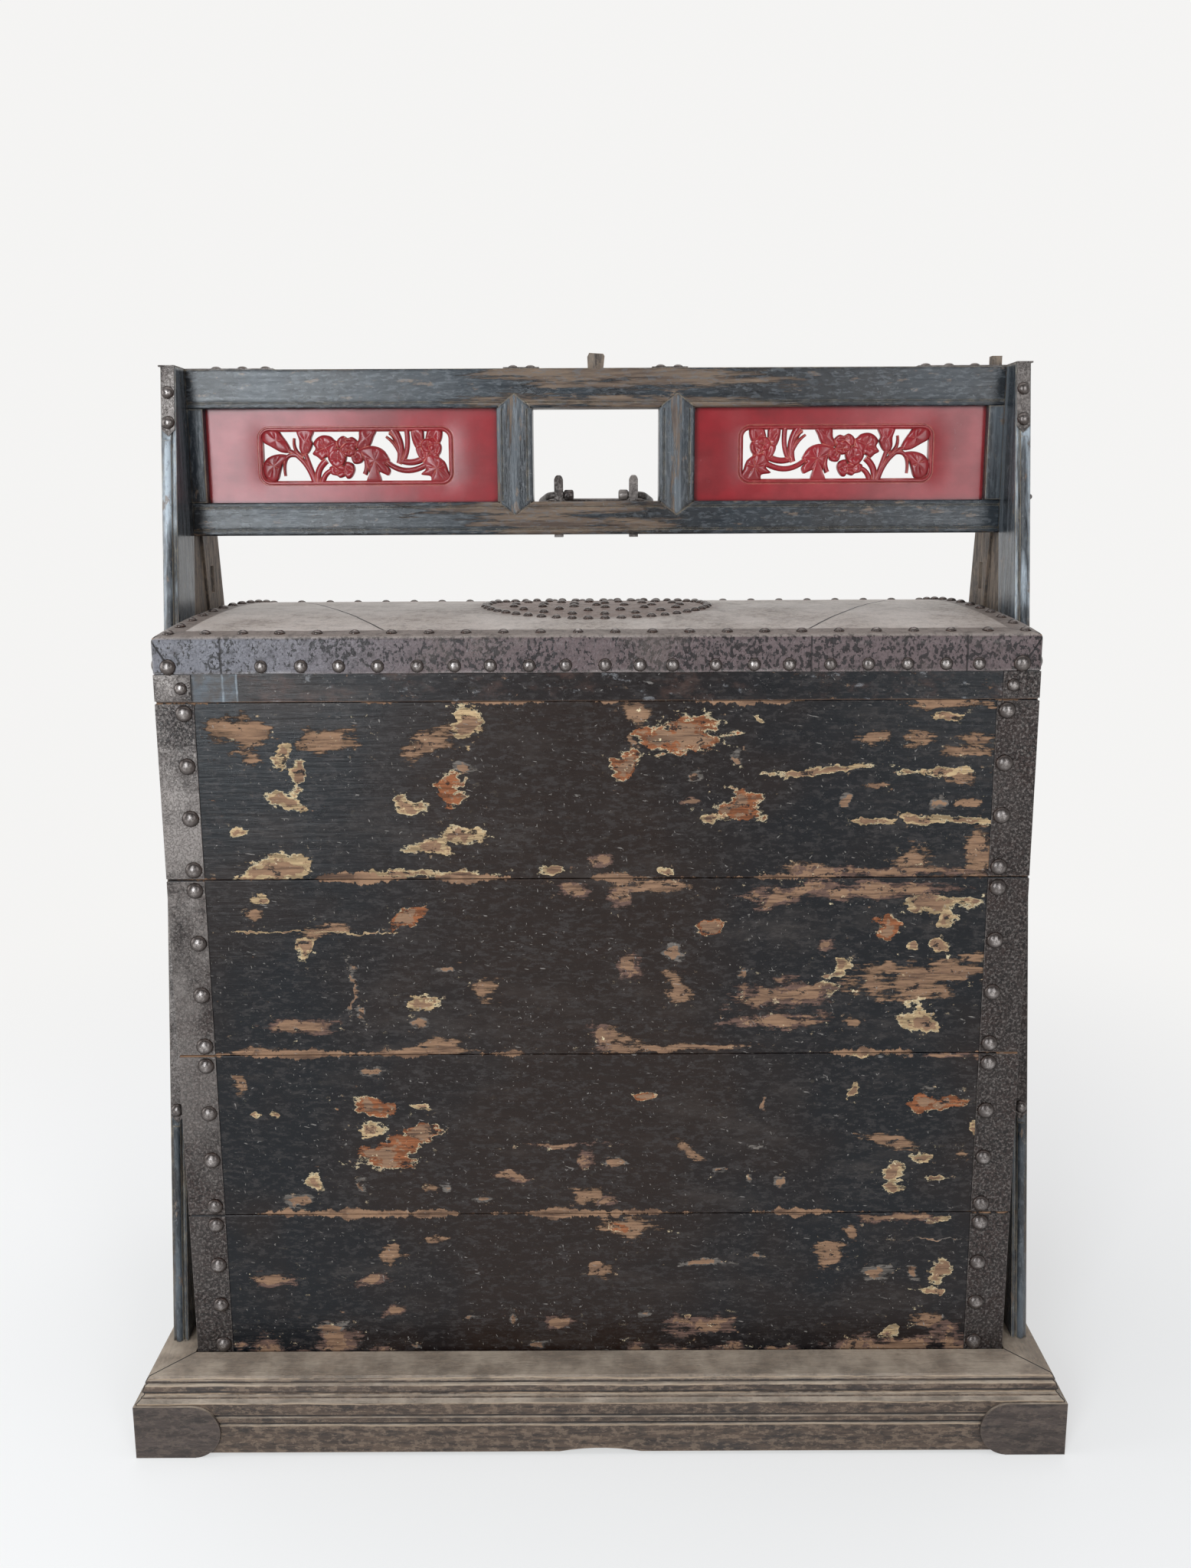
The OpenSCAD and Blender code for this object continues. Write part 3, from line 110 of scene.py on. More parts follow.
class Graph:
    """A node tree while it is being wired."""

    def __init__(self, tree: bpy.types.NodeTree) -> None:
        """Keeps the tree that the nodes go into."""
        self.tree = tree

    def add(self, kind: str, feeds: dict[str | int, Feed] | None = None, **options: object) -> bpy.types.Node:
        """Adds a node, sets its options and feeds its inputs.

        Args:
            kind: Blender's name for the node type.
            feeds: Values or sockets by input name or index.
            options: Node settings by attribute name.

        Returns:
            The new node.
        """
        node = self.tree.nodes.new(kind)
        for name, value in options.items():
            setattr(node, name, value)
        for key, value in (feeds or {}).items():
            self.feed(node.inputs[key], value)
        return node

    def get(self, kind: str, feeds: dict[str | int, Feed] | None = None, **options: object) -> Socket:
        """Adds a node in the same way, and gives its first output."""
        return self.add(kind, feeds, **options).outputs[0]

    def feed(self, socket: Socket, value: Feed) -> None:
        """Links a socket to an input, or writes a plain value on it.

        Args:
            socket: The input to fill.
            value: Another node's output, or a plain value.
        """
        if isinstance(value, bpy.types.NodeSocket):
            self.tree.links.new(value, socket)
        else:
            socket.default_value = value

    def maths(self, operation: str, first: Feed, second: Feed = 0.0, third: Feed = 0.0) -> Socket:
        """Gives the result of one Math node."""
        feeds = {0: first, 1: second, 2: third}
        return self.get("ShaderNodeMath", feeds, operation=operation)

    def times(self, first: Feed, second: Feed) -> Socket:
        """Multiplies two values."""
        return self.maths("MULTIPLY", first, second)

    def scaled(self, value: Feed, factor: Feed, base: Feed) -> Socket:
        """Gives value times factor, plus base."""
        return self.maths("MULTIPLY_ADD", value, factor, base)

    def plus(self, first: Feed, second: Feed) -> Socket:
        """Adds two values."""
        return self.maths("ADD", first, second)

    def minus(self, first: Feed, second: Feed) -> Socket:
        """Takes the second value from the first."""
        return self.maths("SUBTRACT", first, second)

    def most(self, first: Feed, second: Feed) -> Socket:
        """Gives the greater of two values."""
        return self.maths("MAXIMUM", first, second)

    def least(self, first: Feed, second: Feed) -> Socket:
        """Gives the smaller of two values."""
        return self.maths("MINIMUM", first, second)

    def size(self, value: Feed) -> Socket:
        """Gives a value without its sign."""
        return self.maths("ABSOLUTE", value)

    def swing(self, value: Feed, amount: Feed, base: Feed | None = None) -> Socket:
        """Turns a value of 0 to 1 into a swing to both sides of zero, or of a base."""
        even = self.minus(value, 0.5)
        return self.times(even, amount) if base is None else self.scaled(even, amount, base)

    def vector(self, operation: str, first: Feed, second: Feed = ORIGIN, result: int = 0) -> Socket:
        """Gives output number result of one Vector Math node."""
        return self.add("ShaderNodeVectorMath", {0: first, 1: second}, operation=operation).outputs[result]

    def step(self, value: Feed, low: Feed, high: Feed) -> Socket:
        """Eases from 0 at low to 1 at high, also where low is the greater."""
        feeds = {"Value": value, "From Min": low, "From Max": high}
        return self.get("ShaderNodeMapRange", feeds, interpolation_type="SMOOTHSTEP")

    def between(self, value: Feed, at_zero: Feed, at_one: Feed) -> Socket:
        """Runs straight from at_zero to at_one as value goes from 0 to 1."""
        feeds = {"Value": value, "To Min": at_zero, "To Max": at_one}
        return self.get("ShaderNodeMapRange", feeds)

    def mix(self, factor: Feed, first: Feed, second: Feed) -> Socket:
        """Mixes two colours."""
        return self.add("ShaderNodeMix", {0: factor, 6: first, 7: second}, data_type="RGBA").outputs[2]

    def layer(self, under: Feed, over: Feed, mask: Feed, strength: Feed) -> Socket:
        """Lays a colour over another, as far as a mask and a strength say."""
        return self.mix(self.times(mask, strength), under, over)

    def noise(self, point: Feed, scale: Feed, detail: float = 4.0, rough: float = 0.55) -> Socket:
        """Gives fractal noise between 0 and 1."""
        feeds = {"Vector": point, "Scale": scale, "Detail": detail, "Roughness": rough}
        return self.get("ShaderNodeTexNoise", feeds)

    def stretch(self, point: Feed, scale: Spot) -> Socket:
        """Scales a point along each axis."""
        return self.vector("MULTIPLY", point, scale)

    def point(self) -> Socket:
        """Gives the place on the object, in metres."""
        return self.add("ShaderNodeTexCoord").outputs["Object"]

    def facing(self) -> list[Socket]:
        """Gives the X, Y and Z parts of the surface's direction."""
        normal = self.add("ShaderNodeNewGeometry").outputs["Normal"]
        return list(self.add("ShaderNodeSeparateXYZ", {0: normal}).outputs)

    def parts(self, point: Socket) -> list[Socket]:
        """Splits a point into X, Y and Z."""
        return list(self.add("ShaderNodeSeparateXYZ", {0: point}).outputs)

    def bump(self, height: Socket, depth: float, strength: float = 1.0,
             under: Socket | None = None) -> Socket:
        """Turns a height into a bent normal.

        Args:
            height: Height over the surface, 0 to 1.
            depth: Real depth of a height of 1, in metres.
            strength: How fully the bump shows.
            under: A normal to start from.

        Returns:
            The bent normal.
        """
        feeds = {"Height": height, "Distance": depth, "Strength": strength}
        if under is not None:
            feeds["Normal"] = under
        return self.get("ShaderNodeBump", feeds)

    def effect(self, effect: "Effect", point: Feed, **feeds: Feed) -> bpy.types.NodeOutputs:
        """Places one of the shared effects and returns its outputs.

        Args:
            effect: The wanted effect.
            point: Place on the object.
            feeds: Its other inputs by name.

        Returns:
            Its outputs.
        """
        node = self.add("ShaderNodeGroup", node_tree=effect_tree(effect))
        for name, value in {"Vector": point, **feeds}.items():
            self.feed(node.inputs[name], value)
        return node.outputs


def empty_graph(holder: bpy.types.Material | bpy.types.World) -> Graph:
    """Clears the nodes of a material or world, and gives the graph to wire them anew.

    Args:
        holder: The material or world.

    Returns:
        Its empty graph.
    """
    holder.use_nodes = True
    holder.node_tree.nodes.clear()
    return Graph(holder.node_tree)


def placed(name: str, data: bpy.types.ID) -> bpy.types.Object:
    """Makes an object of a mesh, lamp or camera and puts it in the scene.

    Args:
        name: Name of the object.
        data: The mesh, lamp or camera.

    Returns:
        The object, at the origin.
    """
    item = bpy.data.objects.new(name, data)
    bpy.context.scene.collection.objects.link(item)
    return item


class Effect(Enum):
    """Surface effects that several finishes share."""

    WORN_EDGES = "worn edges"
    WOOD_GRAIN = "wood grain"
    SETTLED_DUST = "settled dust"
    SCRATCHES = "fine scratches"
    SPECKLE = "speckle"


@dataclass(frozen=True)
class EffectPlan:
    """Inputs, outputs and wiring of one shared effect."""

    inputs: dict[str, float | Spot]
    outputs: tuple[str, ...]
    wire: Callable[[Graph, dict[str, Socket]], tuple[Socket, ...]]


def wire_worn_edges(graph: Graph, feeds: dict[str, Socket]) -> tuple[Socket, ...]:
    """Finds edges with a rounded normal and breaks them up with noise.

    Args:
        graph: The group's graph.
        feeds: Its inputs by name.

    Returns:
        A mask of the edges.
    """
    rounded = graph.get("ShaderNodeBevel", {"Radius": feeds["Radius"]}, samples=6)
    plain = graph.add("ShaderNodeNewGeometry").outputs["Normal"]
    bend = graph.minus(1.0, graph.vector("DOT_PRODUCT", rounded, plain, 1))
    patchy = graph.noise(feeds["Vector"], feeds["Patchiness"], 5.0, 0.65)
    reach = graph.scaled(bend, feeds["Reach"], patchy)
    return (graph.step(reach, 0.72, 0.95),)


def wire_wood_grain(graph: Graph, feeds: dict[str, Socket]) -> tuple[Socket, ...]:
    """Draws long streaks and short pores along the grain.

    Args:
        graph: The group's graph.
        feeds: Its inputs by name.

    Returns:
        The streaks and the pores.
    """
    run = graph.vector("MULTIPLY", feeds["Vector"], feeds["Stretch"])
    sway = graph.add("ShaderNodeTexNoise", {"Vector": run, "Scale": 0.6, "Detail": 2.0}).outputs[1]
    bent = graph.vector("ADD", run, sway)
    streaks = graph.noise(bent, 1.3, 7.0, 0.62)
    pores = graph.step(graph.noise(graph.stretch(run, (2.0, 2.0, 2.0)), 7.0, 3.0, 0.5), 0.52, 0.66)
    return streaks, pores


def wire_settled_dust(graph: Graph, feeds: dict[str, Socket]) -> tuple[Socket, ...]:
    """Lays dust on faces that look up."""
    clumps = graph.step(graph.noise(feeds["Vector"], feeds["Patchiness"], 6.0, 0.6), 0.34, 0.68)
    return (graph.times(graph.step(graph.facing()[2], 0.35, 0.95), clumps),)


def wire_scratches(graph: Graph, feeds: dict[str, Socket]) -> tuple[Socket, ...]:
    """Draws short hairlines in several slants.

    Args:
        graph: The group's graph.
        feeds: Its inputs by name.

    Returns:
        A mask of the scratches.
    """
    found: Socket | None = None
    for turn, offset in ((0.18, 3.1), (-0.55, 7.7), (1.15, 12.3), (0.75, 21.9)):
        frame = {"Vector": feeds["Vector"], "Rotation": (0.0, turn, turn),
                 "Location": (offset, offset, offset), "Scale": (1.0, 0.035, 0.035)}
        slanted = graph.get("ShaderNodeMapping", frame, vector_type="TEXTURE")
        line = graph.step(graph.noise(slanted, feeds["Scale"], 2.0, 0.45), 0.72, 0.77)
        found = line if found is None else graph.most(found, line)
    return (found,)


def wire_speckle(graph: Graph, feeds: dict[str, Socket]) -> tuple[Socket, ...]:
    """Scatters ragged specks; Cover from 0 to 1 sets how many.

    Args:
        graph: The group's graph.
        feeds: Its inputs by name.

    Returns:
        A mask of the specks, and the noise under it.
    """
    grains = graph.noise(feeds["Vector"], feeds["Scale"], 6.0, 0.72)
    low = graph.scaled(feeds["Cover"], -0.5, 0.75)
    return graph.step(grains, low, graph.plus(low, 0.05)), grains


EFFECT_PLANS = {
    Effect.WORN_EDGES: EffectPlan(
        {"Vector": ORIGIN, "Radius": 0.003, "Patchiness": 40.0, "Reach": 2.2}, ("Mask",), wire_worn_edges),
    Effect.WOOD_GRAIN: EffectPlan(
        {"Vector": ORIGIN, "Stretch": (4.0, 60.0, 60.0)}, ("Streaks", "Pores"), wire_wood_grain),
    Effect.SETTLED_DUST: EffectPlan(
        {"Vector": ORIGIN, "Patchiness": 18.0}, ("Mask",), wire_settled_dust),
    Effect.SCRATCHES: EffectPlan(
        {"Vector": ORIGIN, "Scale": 14.0}, ("Mask",), wire_scratches),
    Effect.SPECKLE: EffectPlan(
        {"Vector": ORIGIN, "Scale": 90.0, "Cover": 0.3}, ("Mask", "Grains"), wire_speckle),
}


def effect_tree(effect: Effect) -> bpy.types.NodeTree:
    """Builds the node group of a shared effect, or finds it again.

    Args:
        effect: The wanted effect.

    Returns:
        The effect's node group.
    """
    found = bpy.data.node_groups.get(effect.value)
    if found is not None:
        return found
    plan = EFFECT_PLANS[effect]
    tree = bpy.data.node_groups.new(effect.value, "ShaderNodeTree")
    for name, value in plan.inputs.items():
        kind = "NodeSocketFloat" if isinstance(value, float) else "NodeSocketVector"
        tree.interface.new_socket(name, in_out="INPUT", socket_type=kind).default_value = value
    for name in plan.outputs:
        tree.interface.new_socket(name, in_out="OUTPUT", socket_type="NodeSocketFloat")
    graph = Graph(tree)
    source = graph.add("NodeGroupInput")
    results = plan.wire(graph, {name: source.outputs[name] for name in plan.inputs})
    graph.add("NodeGroupOutput", dict(zip(plan.outputs, results)))
    return tree


# Finishes


class Run(Enum):
    """Direction of the grain, as the number of its axis."""

    ALONG_X = 0
    ALONG_Y = 1
    ALONG_Z = 2

    def squeeze(self, along: float = 11.0, across: float = 150.0) -> Spot:
        """Gives how much to squeeze each axis of a pattern, along and across the grain."""
        return tuple(along if axis == self.value else across for axis in range(3))


class Tone(Enum):
    """What shows where lacquer has come off."""

    TAN = shade(138, 107, 83)
    ORANGE = shade(142, 86, 54)
    PALE = shade(184, 156, 118)
    BROWN = shade(104, 80, 70)
    GREY = shade(104, 97, 91)


SCRAPED = (Tone.TAN, Tone.BROWN, Tone.GREY)


@dataclass(frozen=True)
class Flake:
    """A patch of lost lacquer on a tray's front, in millimetres.

    Its tilt is its rise to the right, in degrees.
    """

    x: float
    z: float
    half_w: float
    half_h: float
    tone: Tone
    tilt: float = 0.0


@dataclass(frozen=True)
class Finish:
    """A finish that becomes one procedural material."""

    name: str

    def material(self) -> bpy.types.Material:
        """Makes the material once, and finds it again after that.

        Returns:
            The material of this finish.
        """
        found = bpy.data.materials.get(self.name)
        if found is not None:
            return found
        made = bpy.data.materials.new(self.name)
        graph = empty_graph(made)
        skin = graph.add("ShaderNodeBsdfPrincipled")
        graph.add("ShaderNodeOutputMaterial", {"Surface": skin.outputs[0]})
        for name, value in self.paint(graph).items():
            graph.feed(skin.inputs[name], value)
        return made

    def paint(self, graph: Graph) -> Inputs:
        """Gives the main shader's inputs; every finish has its own."""
        raise NotImplementedError

    def wear(self, item: bpy.types.Object) -> None:
        """Puts the finish on all of an object.

        Args:
            item: The piece to dress.
        """
        made = self.material()
        if not item.data.materials:
            item.data.materials.append(made)
        for index in range(len(item.data.materials)):
            item.data.materials[index] = made


@dataclass
class Coat:
    """A tray board's coat while it is being painted."""

    graph: Graph
    point: Socket
    cloud: Socket
    streaky: Socket
    lacquer: Socket
    wood: Socket
    colour: Socket
    lost: Socket


@dataclass(frozen=True)
class TrayLacquer(Finish):
    """Black lacquer on a tray board, flaked down to the wood.

    The board's lower and upper edges, z_low and z_high, are in millimetres.
    """

    run: Run = Run.ALONG_X
    flakes: tuple[Flake, ...] = ()
    chips: float = 0.1
    bared_past: float = 0.595
    brown_middle: float = 0.0
    z_low: float = 0.0
    z_high: float = 0.0
    rub_past: float = 2.2
    batch: int = 6
    black: Colour = shade(17, 20, 25)
    brown: Colour = shade(39, 25, 18)
    soot: Colour = shade(7, 7, 8)
    haze: Colour = shade(68, 61, 57)
    cream: Colour = shade(214, 196, 160)
    bare: Colour = shade(120, 92, 72)

    def reach_of(self, graph: Graph, point: Socket, tone: Tone) -> Socket | None:
        """Measures how far a place is from the nearest flake of a tone, in flake sizes.

        Args:
            graph: The material's graph.
            point: Place on the object, already swayed by noise.
            tone: Which flakes to take.

        Returns:
            The distance, 1 on a flake's outline, or None where there are no such flakes.
        """
        reach: Socket | None = None
        for number, flake in enumerate(flake for flake in self.flakes if flake.tone is tone):
            if number % self.batch == self.batch - 1:
                point = self.after(graph, point, reach)
            frame = {"Vector": point, "Location": (flake.x * MM, 0.0, flake.z * MM),
                     "Rotation": (0.0, -math.radians(flake.tilt), 0.0),
                     "Scale": (flake.half_w * MM, 9.0, flake.half_h * MM)}
            local = graph.get("ShaderNodeMapping", frame, vector_type="TEXTURE")
            length = graph.vector("LENGTH", local, result=1)
            reach = length if reach is None else graph.least(reach, length)
        return reach

    def after(self, graph: Graph, point: Socket, known: Socket) -> Socket:
        """Gives the same point once a value is known, so that the shader holds few values at a time."""
        feeds = {0: known, 1: (1e-9, 1e-9, 1e-9), 2: point}
        return graph.get("ShaderNodeVectorMath", feeds, operation="MULTIPLY_ADD")

    def swayed(self, graph: Graph, point: Socket) -> Socket:
        """Shifts a point by noise, so that outlines tear along the grain.

        Args:
            graph: The material's graph.
            point: Place on the object.

        Returns:
            The shifted place.
        """
        for scale, amount in ((24.0, (0.034, 0.0, 0.018)), (85.0, (0.017, 0.0, 0.008)),
                              (260.0, (0.005, 0.0, 0.004))):
            feeds = {"Vector": point, "Scale": scale, "Detail": 3.0}
            sway = graph.add("ShaderNodeTexNoise", feeds).outputs[1]
            even = graph.vector("SUBTRACT", sway, (0.5, 0.5, 0.5))
            point = graph.vector("ADD", point, graph.vector("MULTIPLY", even, amount))
        return point

    def ground(self, graph: Graph, point: Socket, grain: bpy.types.NodeOutputs) -> Socket:
        """Paints the whole coat: blue-black at the sides, brown in the middle, with smears.

        Args:
            graph: The material's graph.
            point: Place on the object.
            grain: Outputs of the wood grain.

        Returns:
            The coat's colour.
        """
        drift = graph.noise(point, 4.5, 3.0)
        across = graph.size(graph.plus(graph.parts(point)[0], 0.035))
        centre = graph.swing(drift, 0.5, across)
        brown = graph.times(graph.step(centre, 0.28, 0.08), self.brown_middle)
        brown = graph.most(brown, graph.times(graph.step(drift, 0.5, 0.66), 0.6))
        colour = graph.mix(brown, self.black, self.brown)
        colour = graph.mix(graph.between(grain["Streaks"], 0.0, 0.6), colour, self.soot)
        spots = graph.noise(graph.stretch(point, (0.6, 1.0, 1.4)), 190.0, 6.0, 0.72)
        colour = graph.layer(colour, shade(58, 54, 53), graph.step(spots, 0.5, 0.6), 0.5)
        smear = graph.noise(graph.stretch(point, (5.0, 5.0, 16.0)), 1.3, 8.0, 0.74)
        return graph.layer(colour, self.haze, graph.step(smear, 0.5, 0.74), 0.42)

    def flake_off(self, coat: Coat) -> Socket:
        """Lays the patches of lost lacquer over the coat, tone by tone.

        Args:
            coat: The coat so far.

        Returns:
            A mask of the places near a patch.
        """
        graph, point = coat.graph, coat.point
        swayed = self.swayed(graph, point)
        front = graph.step(graph.facing()[1], -0.35, -0.7)
        torn = graph.noise(graph.stretch(point, (0.75, 1.0, 1.5)), 46.0, 7.0, 0.66)
        tear = graph.swing(torn, 3.4)
        deep = graph.swing(coat.cloud, 2.6)
        fibres = graph.noise(graph.stretch(point, self.run.squeeze(30.0, 420.0)), 1.0, 5.0, 0.7)
        fibred = graph.step(fibres, 0.36, 0.62)
        near: Socket | None = None
        for tone in Tone:
            reach = self.reach_of(graph, swayed, tone)
            if reach is None:
                continue
            swayed = self.after(graph, swayed, reach)
            reach = graph.plus(reach, tear)
            if tone in SCRAPED:
                scraped = graph.swing(fibres, 1.5, reach)
                inside = graph.times(graph.step(scraped, 1.0, 0.7), front)
            else:
                inside = graph.times(graph.step(reach, 0.92, 0.88), front)
            dark = tuple(v * 0.4 for v in tone.value[:3]) + (1.0,)
            tinted = graph.mix(fibred, tone.value, dark)
            bared = graph.step(graph.plus(reach, deep), 0.6, 0.45)
            tinted = graph.mix(bared, tinted, graph.mix(fibred, Tone.TAN.value, coat.wood))
            coat.colour = graph.mix(inside, coat.colour, tinted)
            coat.lost = graph.most(coat.lost, inside)
            near = reach if near is None else graph.least(near, reach)
            if tone in SCRAPED:
                continue
            rim = graph.times(graph.step(reach, 0.8, 0.87), graph.step(reach, 0.97, 0.92))
            broken = graph.step(graph.noise(point, 36.0, 4.0, 0.7), 0.45, 0.52)
            rim = graph.times(graph.times(rim, broken), front)
            coat.colour = graph.layer(coat.colour, self.cream, rim, 0.68)
        spots = graph.noise(graph.stretch(point, (1.0, 1.0, 2.0)), 60.0, 7.0, 0.72)
        remains = graph.times(graph.step(spots, 0.57, 0.6), coat.lost)
        coat.colour = graph.layer(coat.colour, coat.lacquer, remains, 0.92)
        return graph.times(graph.step(near, 2.4, 1.0), front)

    def wear_off(self, coat: Coat) -> Socket:
        """Bares patches at random, on a board that has no flakes of its own.

        Args:
            coat: The coat so far.

        Returns:
            A mask of the places with more chips.
        """
        graph = coat.graph
        around = graph.step(coat.cloud, 0.5, 0.65)
        patch = graph.noise(graph.stretch(coat.point, (1.0, 1.0, 2.2)), 9.0, 8.0, 0.72)
        bared = graph.step(patch, self.bared_past, self.bared_past + 0.012)
        wood = graph.mix(coat.streaky, Tone.TAN.value, coat.wood)
        coat.colour = graph.mix(bared, coat.colour, wood)
        coat.lost = graph.most(coat.lost, bared)
        return around

    def rub_edges(self, coat: Coat) -> None:
        """Rubs the board's lower and upper edges down to the wood.

        Args:
            coat: The coat so far.
        """
        graph, point = coat.graph, coat.point
        z = graph.parts(point)[2]
        above = graph.minus(z, self.z_low * MM)
        below = graph.minus((self.z_high + self.rub_past) * MM, z)
        jagged = graph.noise(graph.stretch(point, (1.0, 1.0, 0.3)), 85.0, 6.0, 0.72)
        patchy = graph.noise(point, 10.0, 3.0)
        edge = graph.swing(patchy, 0.036, graph.swing(jagged, 0.02, graph.least(above, below)))
        rubbed = graph.step(edge, 0.0016, 0.0008)
        pale = graph.mix(coat.streaky, Tone.TAN.value, coat.wood)
        worn = graph.mix(graph.step(coat.cloud, 0.5, 0.58), pale, coat.wood)
        coat.colour = graph.mix(rubbed, coat.colour, worn)
        coat.lost = graph.most(coat.lost, rubbed)

    def paint(self, graph: Graph) -> Inputs:
        """Layers lacquer, flakes, chips, rubbed edges and scratches.

        Args:
            graph: The material's graph.

        Returns:
            The main shader's inputs.
        """
        point = graph.point()
        grain = graph.effect(Effect.WOOD_GRAIN, point, Stretch=self.run.squeeze())
        streaky = graph.step(grain["Streaks"], 0.38, 0.66)
        lacquer = self.ground(graph, point, grain)
        wood = graph.mix(streaky, self.bare, shade(74, 55, 44))
        fleck = graph.effect(Effect.SPECKLE, graph.stretch(point, (1.0, 1.0, 1.8)), Scale=30.0,
                             Cover=self.chips)["Mask"]
        flecked = graph.mix(fleck, lacquer, wood)
        cloud = graph.noise(point, 42.0, 5.0, 0.65)
        coat = Coat(graph, point, cloud, streaky, lacquer, wood, flecked, fleck)
        around = self.flake_off(coat) if self.flakes else self.wear_off(coat)
        pale = graph.effect(Effect.SPECKLE, graph.stretch(point, (1.0, 1.0, 1.3)), Scale=85.0,
                            Cover=0.26)
        shown = graph.times(pale["Mask"], graph.between(around, 0.03, 0.85))
        chip = graph.mix(graph.step(cloud, 0.4, 0.6), self.cream, Tone.TAN.value)
        coat.colour = graph.mix(shown, coat.colour, chip)
        if self.z_high > self.z_low:
            self.rub_edges(coat)
        edges = graph.effect(Effect.WORN_EDGES, graph.stretch(point, (0.4, 0.4, 1.0)), Radius=0.003,
                             Patchiness=55.0, Reach=1.8)
        colour = graph.layer(coat.colour, wood, edges["Mask"], 0.8)
        lines = graph.effect(Effect.SCRATCHES, point)
        colour = graph.layer(colour, shade(140, 134, 128), lines["Mask"], 0.55)
        matt = graph.most(graph.most(coat.lost, edges["Mask"]), shown)
        sheen = graph.between(graph.noise(point, 60.0, 5.0, 0.7), 0.16, 0.44)
        height = graph.scaled(coat.lost, -0.9, graph.times(grain["Streaks"], 0.8))
        height = graph.scaled(lines["Mask"], -0.15, height)
        return {"Base Color": colour, "Specular IOR Level": 0.26,
                "Roughness": graph.mix(matt, sheen, (0.8, 0.8, 0.8, 1.0)),
                "Normal": graph.bump(height, 0.0007, 0.8)}


@dataclass(frozen=True)
class RimLacquer(TrayLacquer):
    """Lacquer of the lid's front rim, smeared, with a pale blue-grey patch of painted glare near its left
    end.
    """

    # Colour of the patch of painted glare near the left end.
    patch: Colour = shade(82, 89, 96)
    stain: Colour = shade(74, 54, 47)
    glare_span_x: Point = (-397.0, -353.0)

    def ground(self, graph: Graph, point: Socket, grain: bpy.types.NodeOutputs) -> Socket:
        """Lays smears, a patch of painted glare and its painted highlight lines over the tray's coat.

        Args:
            graph: The material's graph.
            point: Place on the object.
            grain: Outputs of the wood grain.

        Returns:
            The coat's colour.
        """
        coat = super().ground(graph, point, grain)
        smeared = graph.noise(graph.stretch(point, (9.0, 9.0, 14.0)), 2.2, 8.0, 0.74)
        coat = graph.layer(coat, self.stain, graph.step(smeared, 0.5, 0.66), 0.6)
        dabs = graph.noise(graph.stretch(point, (26.0, 26.0, 40.0)), 2.0, 6.0, 0.7)
        coat = graph.layer(coat, shade(128, 128, 130), graph.step(dabs, 0.6, 0.68), 0.5)
        # The pale blue-grey patch near the left end is painted glare, and the pale lines at its right edge
        # are painted highlights.
        sway = graph.swing(graph.noise(point, 60.0, 4.0), 0.004)
        x = graph.plus(graph.parts(point)[0], sway)
        left, right = (edge * MM for edge in self.glare_span_x)
        inside = graph.times(graph.step(x, left, left + 0.002), graph.step(x, right, right - 0.002))
        mottled = graph.step(graph.noise(point, 70.0, 6.0, 0.7), 0.35, 0.65)
        colour = graph.mix(graph.times(inside, 0.7), coat, graph.mix(mottled, self.patch, self.haze))
        for edge in (right, right - 0.014):
            off = graph.size(graph.minus(x, edge))
            line = graph.times(graph.step(off, 0.0013, 0.0006), graph.between(mottled, 0.7, 0.2))
            colour = graph.mix(line, colour, shade(128, 136, 142))
        return colour


